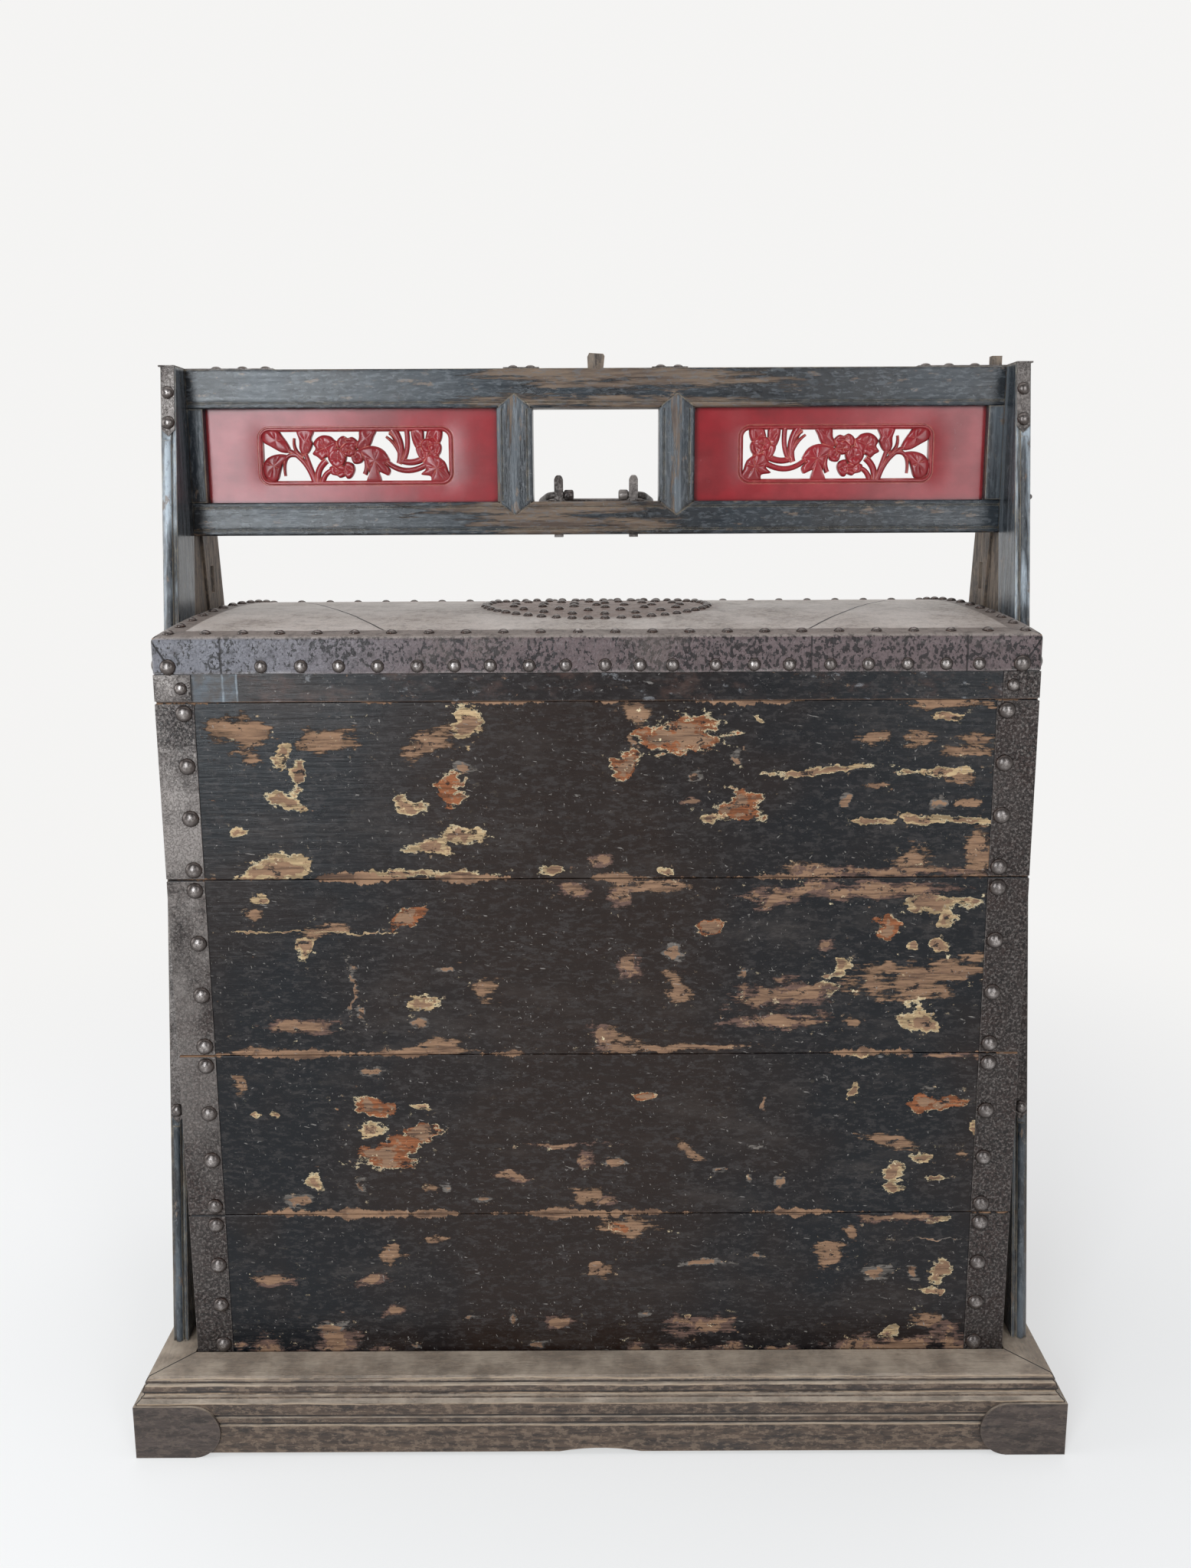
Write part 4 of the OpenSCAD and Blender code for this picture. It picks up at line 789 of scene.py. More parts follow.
@dataclass(frozen=True)
class FrameLacquer(Finish):
    """Blue-black lacquer on a rail or leg, rubbed through along the grain, with optional bands of painted
    sheen.
    """

    run: Run = Run.ALONG_X
    worn_middle: bool = False
    rubbed: float = 0.12
    painted_sheen: float = 0.0
    black: Colour = shade(34, 42, 49)
    bare: Colour = shade(118, 98, 80)
    soot: Colour = shade(28, 25, 25)
    cream: Colour = shade(190, 176, 152)

    def paint(self, graph: Graph) -> Inputs:
        """Layers lacquer, painted sheen bands, rubbed streaks, worn edges and scratches.

        Args:
            graph: The material's graph.

        Returns:
            The main shader's inputs.
        """
        point = graph.point()
        grain = graph.effect(Effect.WOOD_GRAIN, point, Stretch=self.run.squeeze())
        streak = graph.noise(graph.stretch(point, self.run.squeeze(1.6, 22.0)), 2.0, 8.0, 0.74)
        cover: Feed = self.rubbed
        if self.worn_middle:
            across = graph.size(graph.parts(point)[0])
            near = graph.step(across, 0.34, 0.02)
            cover = graph.scaled(near, 0.2, self.rubbed)
        limit = graph.minus(0.74, cover)
        rubbed = graph.step(streak, limit, graph.plus(limit, 0.05))
        shadow = graph.step(graph.noise(point, 9.0, 4.0), 0.42, 0.62)
        colour = graph.mix(graph.times(shadow, 0.7), self.black, self.soot)
        colour = graph.mix(graph.between(grain["Streaks"], 0.0, 0.5), colour, shade(12, 13, 15))
        # Pale blue-white bands along the grain, stronger on front faces and higher up, are painted sheen.
        if self.painted_sheen:
            bands = graph.noise(graph.stretch(point, self.run.squeeze(0.8, 26.0)), 2.0, 5.0, 0.6)
            sheen_bands = graph.times(graph.step(bands, 0.42, 0.6), self.painted_sheen)
            ahead = graph.between(graph.step(graph.facing()[1], -0.1, -0.7), 0.25, 1.0)
            high = graph.between(graph.step(graph.parts(point)[2], 0.45, 0.8), 0.15, 1.0)
            colour = graph.layer(colour, shade(174, 184, 192), sheen_bands, graph.times(ahead, high))
        wood = graph.mix(graph.step(grain["Streaks"], 0.38, 0.66), self.bare, shade(78, 60, 48))
        colour = graph.layer(colour, wood, rubbed, 0.8)
        long_way = graph.stretch(point, self.run.squeeze(0.3, 1.0))
        edges = graph.effect(Effect.WORN_EDGES, long_way, Radius=0.0055, Patchiness=34.0, Reach=1.25)
        worn = graph.times(edges["Mask"], 0.8)
        colour = graph.mix(worn, colour, wood)
        fine = graph.effect(Effect.WORN_EDGES, point, Radius=0.0035, Patchiness=70.0, Reach=1.05)
        colour = graph.layer(colour, self.cream, fine["Mask"], 0.85)
        chips = graph.effect(Effect.SPECKLE, long_way, Scale=110.0, Cover=0.3)
        colour = graph.layer(colour, wood, chips["Mask"], 0.75)
        spots = graph.effect(Effect.SPECKLE, long_way, Scale=260.0, Cover=0.46)
        colour = graph.layer(colour, shade(92, 96, 100), spots["Mask"], 0.4)
        lines = graph.effect(Effect.SCRATCHES, point)
        colour = graph.layer(colour, shade(120, 122, 122), lines["Mask"], 0.4)
        matt = graph.most(rubbed, worn)
        sheen = graph.between(graph.noise(point, 45.0, 5.0, 0.7), 0.1, 0.34)
        lumps = graph.noise(graph.stretch(point, self.run.squeeze(0.35, 1.0)), 120.0, 4.0, 0.6)
        height = graph.scaled(rubbed, -0.5, graph.times(grain["Streaks"], 0.9))
        height = graph.scaled(lumps, 0.5, height)
        rounded = graph.get("ShaderNodeBevel", {"Radius": 0.005}, samples=6)
        return {"Base Color": colour, "Roughness": graph.mix(matt, sheen, (0.72, 0.72, 0.72, 1.0)),
                "Normal": graph.bump(height, 0.001, 0.85, rounded)}


@dataclass(frozen=True)
class RedLacquer(Finish):
    """Red lacquer of the carved panels, with painted shade in the hollows and painted highlights on the
    ridges.
    """

    red: Colour = shade(143, 31, 38)
    deep: Colour = shade(116, 22, 27)
    faded: Colour = shade(172, 74, 76)
    ridge_highlight: Colour = shade(220, 134, 116)
    hollow_shade: Colour = shade(52, 20, 20)

    def paint(self, graph: Graph) -> Inputs:
        """Layers red, fading, painted shade in the hollows and painted highlights on the ridges.

        Args:
            graph: The material's graph.

        Returns:
            The main shader's inputs.
        """
        point = graph.point()
        grain = graph.effect(Effect.WOOD_GRAIN, point, Stretch=Run.ALONG_X.squeeze())
        cloud = graph.noise(point, 14.0, 5.0, 0.6)
        colour = graph.mix(graph.step(cloud, 0.35, 0.7), self.red, self.deep)
        blush = graph.step(graph.noise(graph.stretch(point, (1.0, 1.0, 2.0)), 11.0, 5.0, 0.6), 0.45, 0.7)
        colour = graph.layer(colour, self.faded, blush, 0.22)
        # Darkening in the hollows, found by ambient occlusion, is painted shade.
        hollow = graph.add("ShaderNodeAmbientOcclusion", {"Distance": 0.006}, samples=6).outputs["AO"]
        colour = graph.layer(colour, self.hollow_shade, graph.step(hollow, 0.75, 0.3), 0.85)
        # Pale edges along the carved ridges are painted highlights.
        ridges = graph.effect(Effect.WORN_EDGES, point, Radius=0.0026, Patchiness=120.0, Reach=2.3)
        colour = graph.layer(colour, self.ridge_highlight, ridges["Mask"], 0.75)
        specks = graph.effect(Effect.SPECKLE, point, Scale=150.0, Cover=0.2)
        colour = graph.layer(colour, self.deep, specks["Mask"], 0.5)
        height = graph.scaled(specks["Grains"], 0.3, graph.times(grain["Streaks"], 0.3))
        return {"Base Color": colour, "Roughness": graph.between(cloud, 0.14, 0.34),
                "Normal": graph.bump(height, 0.0005, 0.6)}


@dataclass(frozen=True)
class WornWood(Finish):
    """Old wood with remains of its dark coat, as on the base and the rear legs."""

    run: Run = Run.ALONG_X
    wood: Colour = shade(90, 73, 60)
    dark: Colour = shade(46, 36, 31)
    coat: Colour = shade(44, 38, 36)
    coat_cover: float = 0.5
    dust: Colour = shade(132, 112, 94)
    mitre_from: Point | None = None
    grooves: tuple[float, ...] = ()
    arrises: tuple[float, ...] = ()

    def levels(self, graph: Graph, point: Socket, heights: tuple[float, ...], half: float) -> Socket:
        """Marks lines that run round at given heights.

        Args:
            graph: The material's graph.
            point: Place on the object.
            heights: Heights of the lines, in millimetres.
            half: Half a line's thickness, in millimetres.

        Returns:
            A mask of the lines.
        """
        sway = graph.swing(graph.noise(point, 14.0, 4.0), 0.0035)
        z = graph.plus(graph.parts(point)[2], sway)
        found: Socket | None = None
        for height in heights:
            off = graph.size(graph.minus(z, height * MM))
            line = graph.step(off, half * MM, half * 0.4 * MM)
            found = line if found is None else graph.most(found, line)
        return found

    def paint(self, graph: Graph) -> Inputs:
        """Layers wood, coat, darker hollows, groove lines, painted arris highlights, dust and mitre cracks.

        Args:
            graph: The material's graph.

        Returns:
            The main shader's inputs.
        """
        point = graph.point()
        grain = graph.effect(Effect.WOOD_GRAIN, point, Stretch=self.run.squeeze())
        colour = graph.mix(graph.step(grain["Streaks"], 0.32, 0.7), self.wood, self.dark)
        patches = graph.noise(graph.stretch(point, self.run.squeeze(4.0, 18.0)), 1.6, 9.0, 0.74)
        limit = 0.78 - 0.5 * self.coat_cover
        coat = graph.step(patches, limit, limit + 0.12)
        colour = graph.layer(colour, self.coat, coat, 0.8)
        # Darker in the hollows, as far as ambient occlusion finds them.
        hollow = graph.add("ShaderNodeAmbientOcclusion", {"Distance": 0.012}, samples=6).outputs["AO"]
        colour = graph.layer(colour, shade(26, 21, 19), graph.step(hollow, 0.7, 0.35), 0.8)
        fine = graph.stretch(point, self.run.squeeze(0.5, 1.0))
        mottled = graph.effect(Effect.SPECKLE, fine, Scale=170.0, Cover=0.5)
        colour = graph.layer(colour, self.dust, mottled["Mask"], 0.45)
        long_way = graph.stretch(point, self.run.squeeze(0.35, 1.2))
        pitted = graph.effect(Effect.SPECKLE, long_way, Scale=110.0, Cover=0.42)
        colour = graph.layer(colour, shade(34, 28, 26), pitted["Mask"], 0.6)
        edges = graph.effect(Effect.WORN_EDGES, point, Radius=0.004, Patchiness=40.0, Reach=1.6)
        colour = graph.layer(colour, self.dust, edges["Mask"], 0.6)
        if self.grooves:
            uneven = graph.noise(graph.stretch(point, self.run.squeeze(1.0, 4.0)), 9.0, 6.0, 0.7)
            rough = graph.step(uneven, 0.38, 0.5)
            # Dark lines at the groove heights.
            dark_groove_lines = graph.times(self.levels(graph, point, self.grooves, 1.7), graph.between(rough, 0.5, 0.95))
            colour = graph.mix(dark_groove_lines, colour, shade(30, 24, 22))
            # Pale lines at the arris heights are painted highlights.
            arris_highlight = graph.times(self.levels(graph, point, self.arrises, 1.0), rough)
            colour = graph.layer(colour, shade(168, 146, 122), arris_highlight, 0.75)
        up = graph.step(graph.facing()[2], 0.35, 0.95)
        clumps = graph.between(graph.step(graph.noise(point, 26.0, 6.0, 0.6), 0.34, 0.68), 0.4, 0.9)
        colour = graph.layer(colour, shade(176, 160, 142), up, clumps)
        crack: Feed = 0.0
        if self.mitre_from is not None:
            parts = graph.parts(point)
            far_x = graph.minus(graph.size(parts[0]), self.mitre_from[0])
            far_y = graph.minus(graph.size(parts[1]), self.mitre_from[1])
            off = graph.size(graph.minus(far_x, far_y))
            crack = graph.step(off, 0.0013, 0.0005)
            colour = graph.mix(crack, colour, shade(18, 15, 14))
        height = graph.scaled(grain["Pores"], -0.35, grain["Streaks"])
        height = graph.minus(height, crack)
        return {"Base Color": colour, "Roughness": graph.between(patches, 0.72, 0.5),
                "Normal": graph.bump(height, 0.0009, 0.75)}


@dataclass(frozen=True)
class InsideWood(Finish):
    """Bare boards inside the trays and under the leather."""

    wood: Colour = shade(150, 118, 88)
    dark: Colour = shade(104, 78, 58)

    def paint(self, graph: Graph) -> Inputs:
        """Draws plain grain with a few stains.

        Args:
            graph: The material's graph.

        Returns:
            The main shader's inputs.
        """
        point = graph.point()
        grain = graph.effect(Effect.WOOD_GRAIN, point, Stretch=Run.ALONG_X.squeeze())
        stain = graph.step(graph.noise(point, 6.0, 5.0), 0.4, 0.75)
        colour = graph.mix(graph.step(grain["Streaks"], 0.3, 0.7), self.wood, self.dark)
        colour = graph.layer(colour, self.dark, stain, 0.5)
        return {"Base Color": colour, "Roughness": graph.between(grain["Streaks"], 0.6, 0.8),
                "Normal": graph.bump(grain["Streaks"], 0.0006, 0.6)}


@dataclass(frozen=True)
class SheetIron(Finish):
    """Thin forged straps and corner irons, brown with rust and pitted, with painted sheen towards the upper
    left.
    """

    iron: Colour = shade(50, 43, 41)
    rust: Colour = shade(50, 38, 35)
    pit: Colour = shade(14, 12, 12)
    bright: Colour = shade(140, 132, 127)

    def paint(self, graph: Graph) -> Inputs:
        """Layers iron, rust clouds, pits, painted sheen towards the upper left and rubbed edges.

        Args:
            graph: The material's graph.

        Returns:
            The main shader's inputs.
        """
        point = graph.point()
        cloud = graph.noise(point, 22.0, 6.0, 0.68)
        colour = graph.mix(graph.step(cloud, 0.4, 0.62), self.iron, self.rust)
        pits = graph.effect(Effect.SPECKLE, point, Scale=290.0, Cover=0.5)
        worse = graph.step(graph.noise(point, 13.0, 4.0, 0.6), 0.36, 0.62)
        colour = graph.layer(colour, self.pit, pits["Mask"], graph.between(worse, 0.35, 0.9))
        grains = graph.effect(Effect.SPECKLE, point, Scale=360.0, Cover=0.46)
        colour = graph.layer(colour, self.bright, grains["Mask"], 0.4)
        # Lighter mottling that grows towards the upper left is painted sheen.
        x, _, z = graph.parts(point)
        sheen_to_upper_left = graph.between(graph.step(graph.scaled(x, -0.7, z), 0.35, 1.05), 0.03, 0.75)
        sheen_breakup = graph.step(graph.noise(point, 12.0, 6.0, 0.7), 0.36, 0.6)
        colour = graph.layer(colour, self.bright, sheen_breakup, sheen_to_upper_left)
        edges = graph.effect(Effect.WORN_EDGES, point, Radius=0.0016, Patchiness=90.0, Reach=1.8)
        colour = graph.layer(colour, self.bright, edges["Mask"], 0.55)
        height = graph.scaled(pits["Mask"], -0.6, graph.times(cloud, 0.9))
        rounded = graph.get("ShaderNodeBevel", {"Radius": 0.001}, samples=4)
        return {"Base Color": colour, "Metallic": 0.45, "Roughness": graph.between(cloud, 0.24, 0.56),
                "Normal": graph.bump(height, 0.0008, 0.8, rounded)}


@dataclass(frozen=True)
class NailIron(Finish):
    """Forged dome nails, rubbed bright at the crown with a painted highlight there, and rusty round the rim.
    """

    dark: Colour = shade(78, 71, 68)
    crown: Colour = shade(178, 170, 166)
    rust: Colour = shade(84, 56, 44)

    def paint(self, graph: Graph) -> Inputs:
        """Shades each nail by its crown height and its own age.

        Args:
            graph: The material's graph.

        Returns:
            The main shader's inputs.
        """
        point = graph.point()
        high = graph.add("ShaderNodeAttribute", attribute_name="crown").outputs["Fac"]
        age = graph.add("ShaderNodeAttribute", attribute_name="age").outputs["Fac"]
        mottled = graph.noise(point, 260.0, 5.0, 0.7)
        # The bright crown is part rubbed iron and part painted highlight.
        rubbed = graph.times(graph.step(high, 0.45, 0.95), graph.step(mottled, 0.3, 0.65))
        rubbed = graph.times(rubbed, graph.between(age, 0.45, 1.0))
        colour = graph.mix(rubbed, self.dark, self.crown)
        rim = graph.times(graph.step(high, 0.4, 0.05), graph.step(mottled, 0.42, 0.6))
        colour = graph.layer(colour, self.rust, rim, 0.7)
        return {"Base Color": colour, "Metallic": 0.7, "Roughness": graph.between(mottled, 0.14, 0.38),
                "Normal": graph.bump(mottled, 0.0004, 0.6)}


@dataclass(frozen=True)
class LidLeather(Finish):
    """Hide glued over the lid, grey with dust on top and dark on the skirt.

    Its places are in metres, from the lid's middle and the floor.
    """

    top: Colour = shade(163, 152, 143)
    skirt: Colour = shade(94, 80, 80)
    band: Colour = shade(98, 87, 81)
    crack: Colour = shade(24, 20, 21)
    dust: Colour = shade(198, 189, 182)
    red_dust: Colour = shade(112, 84, 72)
    medallion_r: float = 0.13
    band_in: Point = (0.409, 0.189)
    half: Point = (0.435, 0.215)
    join_at: Point = (0.41, 0.19)
    fold_z: float = 0.8575
    lap_x: tuple[float, ...] = (-0.367, 0.209, 0.361)
    gritty_x: float = 0.1
    lost_head: Spot = (-0.373, -0.215, 0.8335)

    def seams(self, graph: Graph, point: Socket) -> Socket:
        """Draws the lapped and mitred seams of the hide.

        Args:
            graph: The material's graph.
            point: Place on the object.

        Returns:
            A mask of the seam lines.
        """
        x, y, z = graph.parts(point)
        sway = graph.swing(graph.noise(point, 18.0, 3.0), 0.004)
        flat = graph.step(graph.facing()[2], 0.5, 0.8)
        level = graph.minus(1.0, flat)
        wide = graph.size(x)
        deep = graph.size(y)
        skew = graph.times(graph.minus(self.half[0], wide), 0.9)
        corner = graph.minus(skew, graph.minus(self.half[1], deep))
        slant = graph.size(graph.plus(corner, sway))
        mitre = graph.times(graph.step(slant, 0.0016, 0.0006), graph.step(wide, 0.4, self.join_at[0]))
        lean = graph.scaled(graph.minus(self.join_at[1], y), 0.526, graph.plus(wide, sway))
        join = graph.step(graph.size(graph.minus(lean, self.join_at[0])), 0.0017, 0.0006)
        join = graph.times(join, graph.step(deep, self.join_at[1], self.join_at[1] - 0.004))
        mitre = graph.times(graph.most(mitre, join), flat)
        drop = graph.minus(self.fold_z, z)
        edge = graph.minus(graph.times(drop, 0.6), graph.minus(self.half[0] - 0.0005, wide))
        side = graph.step(graph.size(graph.plus(edge, sway)), 0.0014, 0.0005)
        side = graph.times(side, level)
        seams = graph.most(mitre, side)
        for place in self.lap_x:
            off = graph.size(graph.plus(graph.minus(x, place), sway))
            lap = graph.times(graph.step(off, 0.0013, 0.0005), level)
            seams = graph.most(seams, graph.times(lap, 0.8))
        return seams

    def paint(self, graph: Graph) -> Inputs:
        """Layers hide, painted sheen on the skirt's left end, crackle, border band, medallion dust and seams.

        Args:
            graph: The material's graph.

        Returns:
            The main shader's inputs.
        """
        point = graph.point()
        x, y, _ = graph.parts(point)
        up = graph.step(graph.facing()[2], 0.4, 0.9)
        cloud = graph.noise(point, 9.0, 6.0, 0.62)
        fine = graph.noise(point, 95.0, 6.0, 0.72)
        # The skirt's left end is tinted blue-grey as painted sheen.
        left_sheen = graph.times(graph.step(x, -0.12, -0.4), 0.42)
        colour = graph.mix(up, graph.mix(left_sheen, self.skirt, shade(120, 130, 140)), self.top)
        in_x = graph.step(graph.size(x), self.band_in[0] - 0.002, self.band_in[0])
        in_y = graph.step(graph.size(y), self.band_in[1] - 0.002, self.band_in[1])
        band = graph.times(graph.most(in_x, in_y), up)
        colour = graph.layer(colour, self.band, band, 0.75)
        flat_place = graph.stretch(point, (1.0, 1.0, 0.0))
        from_middle = graph.vector("LENGTH", flat_place, result=1)
        disc = graph.plus(from_middle, graph.swing(cloud, 0.08))
        ring = graph.times(graph.step(disc, self.medallion_r + 0.02, self.medallion_r - 0.02), up)
        colour = graph.layer(colour, self.red_dust, ring, 0.7)
        patches = graph.noise(graph.stretch(point, (1.0, 1.0, 2.0)), 16.0, 4.0, 0.6)
        patches = graph.scaled(graph.size(graph.minus(x, self.gritty_x)), -0.32, patches)
        patches = graph.step(patches, 0.32, 0.5)
        colour = graph.layer(colour, self.crack, graph.step(fine, 0.5, 0.62), 0.35)
        scuff = graph.effect(Effect.SPECKLE, point, Scale=320.0, Cover=0.48)
        scuffed = graph.times(scuff["Mask"], graph.between(up, 0.3, 0.2))
        colour = graph.mix(scuffed, colour, graph.mix(up, self.crack, self.band))
        grit = graph.noise(graph.stretch(point, (1.0, 1.0, 0.75)), 290.0, 3.0, 0.6)
        limit = graph.between(patches, 0.59, 0.49)
        black = graph.times(graph.step(grit, limit, graph.plus(limit, 0.03)), 0.9)
        colour = graph.layer(colour, self.crack, black, graph.between(up, 1.0, 0.3))
        stains = graph.step(graph.noise(graph.stretch(point, (1.0, 2.2, 1.0)), 11.0, 6.0, 0.7), 0.5, 0.72)
        colour = graph.layer(colour, self.band, stains, 0.4)
        clear = graph.minus(1.0, graph.most(band, ring))
        dusty = graph.effect(Effect.SETTLED_DUST, point, Patchiness=12.0)
        colour = graph.layer(colour, self.dust, graph.times(dusty["Mask"], clear), 0.55)
        rubbed = graph.effect(Effect.WORN_EDGES, point, Radius=0.006, Patchiness=60.0, Reach=1.4)
        colour = graph.layer(colour, self.dust, rubbed["Mask"], 0.35)
        seams = self.seams(graph, point)
        colour = graph.mix(seams, colour, self.crack)
        from_lost = graph.vector("LENGTH", graph.vector("SUBTRACT", point, self.lost_head), result=1)
        mark = graph.times(graph.step(from_lost, 0.0045, 0.0055), graph.step(from_lost, 0.0075, 0.0065))
        colour = graph.layer(colour, self.crack, mark, 0.8)
        sheen = graph.between(fine, graph.between(up, 0.16, 0.3), graph.between(up, 0.5, 0.7))
        feeds = {"Vector": point, "Scale": 210.0}
        cells = graph.add("ShaderNodeTexVoronoi", feeds, feature="DISTANCE_TO_EDGE")
        height = graph.scaled(graph.step(cells.outputs["Distance"], 0.0, 0.12), 0.25, fine)
        height = graph.scaled(seams, -1.0, height)
        return {"Base Color": colour, "Specular IOR Level": 0.3, "Roughness": sheen,
                "Normal": graph.bump(height, 0.0008, 0.75)}


# Mesh making


class Shape:
    """A mesh that grows from closed shells and becomes one piece."""

    def __init__(self) -> None:
        """Starts with no shells."""
        self.verts: list[Vector] = []
        self.faces: list[tuple[int, ...]] = []

    def add(self, verts: Sequence[Spot | Vector], faces: Sequence[Sequence[int]]) -> None:
        """Adds a shell.

        Args:
            verts: Its points, in millimetres.
            faces: Its faces, by point number.
        """
        start = len(self.verts)
        self.verts += [Vector(v) for v in verts]
        self.faces += [tuple(start + i for i in face) for face in faces]

    def loft(self, rings: Sequence[Sequence[Spot | Vector]], cap_first: bool = True,
             cap_last: bool = True) -> None:
        """Adds a skin over rings of equal point count.

        Args:
            rings: Closed rings of points, in order.
            cap_first: Whether the first ring is closed with a face.
            cap_last: Whether the last ring is closed with a face.
        """
        count = len(rings[0])
        faces: list[tuple[int, ...]] = []
        for r in range(len(rings) - 1):
            for i in range(count):
                j = (i + 1) % count
                faces.append((r * count + i, r * count + j, (r + 1) * count + j, (r + 1) * count + i))
        if cap_first:
            faces.append(tuple(reversed(range(count))))
        if cap_last:
            faces.append(tuple(range((len(rings) - 1) * count, len(rings) * count)))
        self.add([p for ring in rings for p in ring], faces)

    def piece(self, name: str, smooth: float = 40.0) -> bpy.types.Object:
        """Makes the object in metres, with doubles merged and faces turned outwards.

        Args:
            name: Name of the piece.
            smooth: Edges bent more than this many degrees stay sharp.

        Returns:
            The new object, at the origin.
        """
        mesh = bpy.data.meshes.new(name)
        mesh.from_pydata([v * MM for v in self.verts], [], self.faces)
        built = bmesh.new()
        built.from_mesh(mesh)
        bmesh.ops.remove_doubles(built, verts=built.verts, dist=1e-6)
        bmesh.ops.dissolve_degenerate(built, edges=built.edges, dist=1e-7)
        bmesh.ops.recalc_face_normals(built, faces=built.faces)
        for edge in built.edges:
            bend = edge.calc_face_angle(0.0) if len(edge.link_faces) == 2 else 0.0
            edge.smooth = bend < math.radians(smooth)
        for face in built.faces:
            face.smooth = True
        built.to_mesh(mesh)
        built.free()
        return placed(name, mesh)


def smooth_loop(points: Sequence[Vector], parts: int) -> list[Vector]:
    """Rounds a closed line through its points.

    Args:
        points: Points of the line, in order.
        parts: How many pieces each side is cut into.

    Returns:
        Points of the rounded line.
    """
    line = []
    count = len(points)
    for i in range(count):
        before, start, end, after = (points[(i + k) % count] for k in (-1, 0, 1, 2))
        bend = 2 * before - 5 * start + 4 * end - after
        twist = 3 * start - before - 3 * end + after
        for k in range(parts):
            t = k / parts
            line.append(0.5 * (2 * start + (end - before) * t + bend * t ** 2 + twist * t ** 3))
    return line


def turns(count: int) -> list[float]:
    """Gives the angles of points set evenly round a circle."""
    return [2 * math.pi * k / count for k in range(count)]


def bezier(start: Point, middle: Point, end: Point, t: float) -> tuple[Vector, Vector]:
    """Gives a place and direction on a curve of three points.

    Args:
        start: First point.
        middle: Point that bends the curve.
        end: Last point.
        t: How far along, 0 to 1.

    Returns:
        The place, and the unit direction there.
    """
    a, b, c = Vector(start), Vector(middle), Vector(end)
    place = (1 - t) ** 2 * a + 2 * t * (1 - t) * b + t * t * c
    along = 2 * (1 - t) * (b - a) + 2 * t * (c - b)
    return place, along.normalized()


def rounded_outline(half_x: float, half_y: float, radius: float, corner: int, side: int) -> list[Point]:
    """Walks round a rectangle with rounded corners.

    Args:
        half_x: Half its width.
        half_y: Half its height.
        radius: Corner radius.
        corner: Steps in each corner.
        side: Steps on each side.

    Returns:
        The points, counter-clockwise from the right side's lower end.
    """
    radius = min(radius, half_x, half_y)
    points: list[Point] = []
    corners = ((1, 1), (-1, 1), (-1, -1), (1, -1))
    for number, (sx, sy) in enumerate(corners):
        centre = Vector((sx * (half_x - radius), sy * (half_y - radius)))
        for k in range(corner + 1):
            angle = math.pi / 2 * (number + k / corner)
            points.append(tuple(centre + radius * Vector((math.cos(angle), math.sin(angle)))))
        nx, ny = corners[(number + 1) % 4]
        following = Vector((nx * (half_x - radius), ny * (half_y - radius)))
        angle = math.pi / 2 * (number + 1)
        off = radius * Vector((math.cos(angle), math.sin(angle)))
        for k in range(1, side):
            points.append(tuple(centre + off + (following - centre) * (k / side)))
    return points


def dress(item: bpy.types.Object, finish: Finish, body: str, slot: str, *nodes: str) -> bpy.types.Object:
    """Finishes a new piece and ties it to the frame.

    Args:
        item: The piece.
        finish: Its finish.
        body: The body that it moves with.
        slot: Not used.
        nodes: The CAD nodes that it stands for.

    Returns:
        The piece.
    """
    finish.wear(item)
    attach(item, body)
    if nodes:
        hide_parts(*nodes)
    LOG.info("%s on %s, %d faces", item.name, body, len(item.data.polygons))
    return item


# Dome nails


@dataclass(frozen=True)
class Seat:
    """Where one nail sits."""

    place: Vector
    axis: Vector
    radius: float
    height: float


def read_seats(node: bpy.types.Object) -> list[Seat]:
    """Finds the seat of each nail in a CAD node of separate domes.

    Args:
        node: The CAD node.

    Returns:
        One seat for each nail, in a fixed order.
    """
    domes = bmesh.new()
    domes.from_mesh(node.data)
    bmesh.ops.remove_doubles(domes, verts=domes.verts, dist=1e-6)
    seen: set[bmesh.types.BMVert] = set()
    seats: list[Seat] = []
    for start in domes.verts:
        if start in seen:
            continue
        island, ahead = [], [start]
        seen.add(start)
        while ahead:
            vert = ahead.pop()
            island.append(vert)
            for edge in vert.link_edges:
                other = edge.other_vert(vert)
                if other not in seen:
                    seen.add(other)
                    ahead.append(other)
        faces = {face for vert in island for face in vert.link_faces}
        flats: dict[tuple[int, int, int], float] = {}
        for face in faces:
            key = tuple(round(v * 50) for v in face.normal)
            flats[key] = flats.get(key, 0.0) + face.calc_area()
        down = Vector(max(flats, key=flats.get)).normalized()
        base = [face for face in faces if face.normal.dot(down) > 0.995]
        down = sum((face.normal * face.calc_area() for face in base), Vector()).normalized()
        area = sum(face.calc_area() for face in base)
        place = sum((face.calc_center_median() * face.calc_area() for face in base), Vector()) / area
        radius = max((vert.co - place).length for face in base for vert in face.verts)
        height = max((vert.co - place).dot(-down) for vert in island)
        seats.append(Seat(place, -down, radius, height))
    domes.free()
    return sorted(seats, key=lambda seat: tuple(round(v, 4) for v in seat.place))


# The share of a nail's rise that is sunk, and how the seats of the skirt's front row are told:
# by a direction that faces forwards and a height in metres.
NAIL_SUNK = 0.12
FRONT_FACING = -0.9
SKIRT_MIDDLE = 0.82


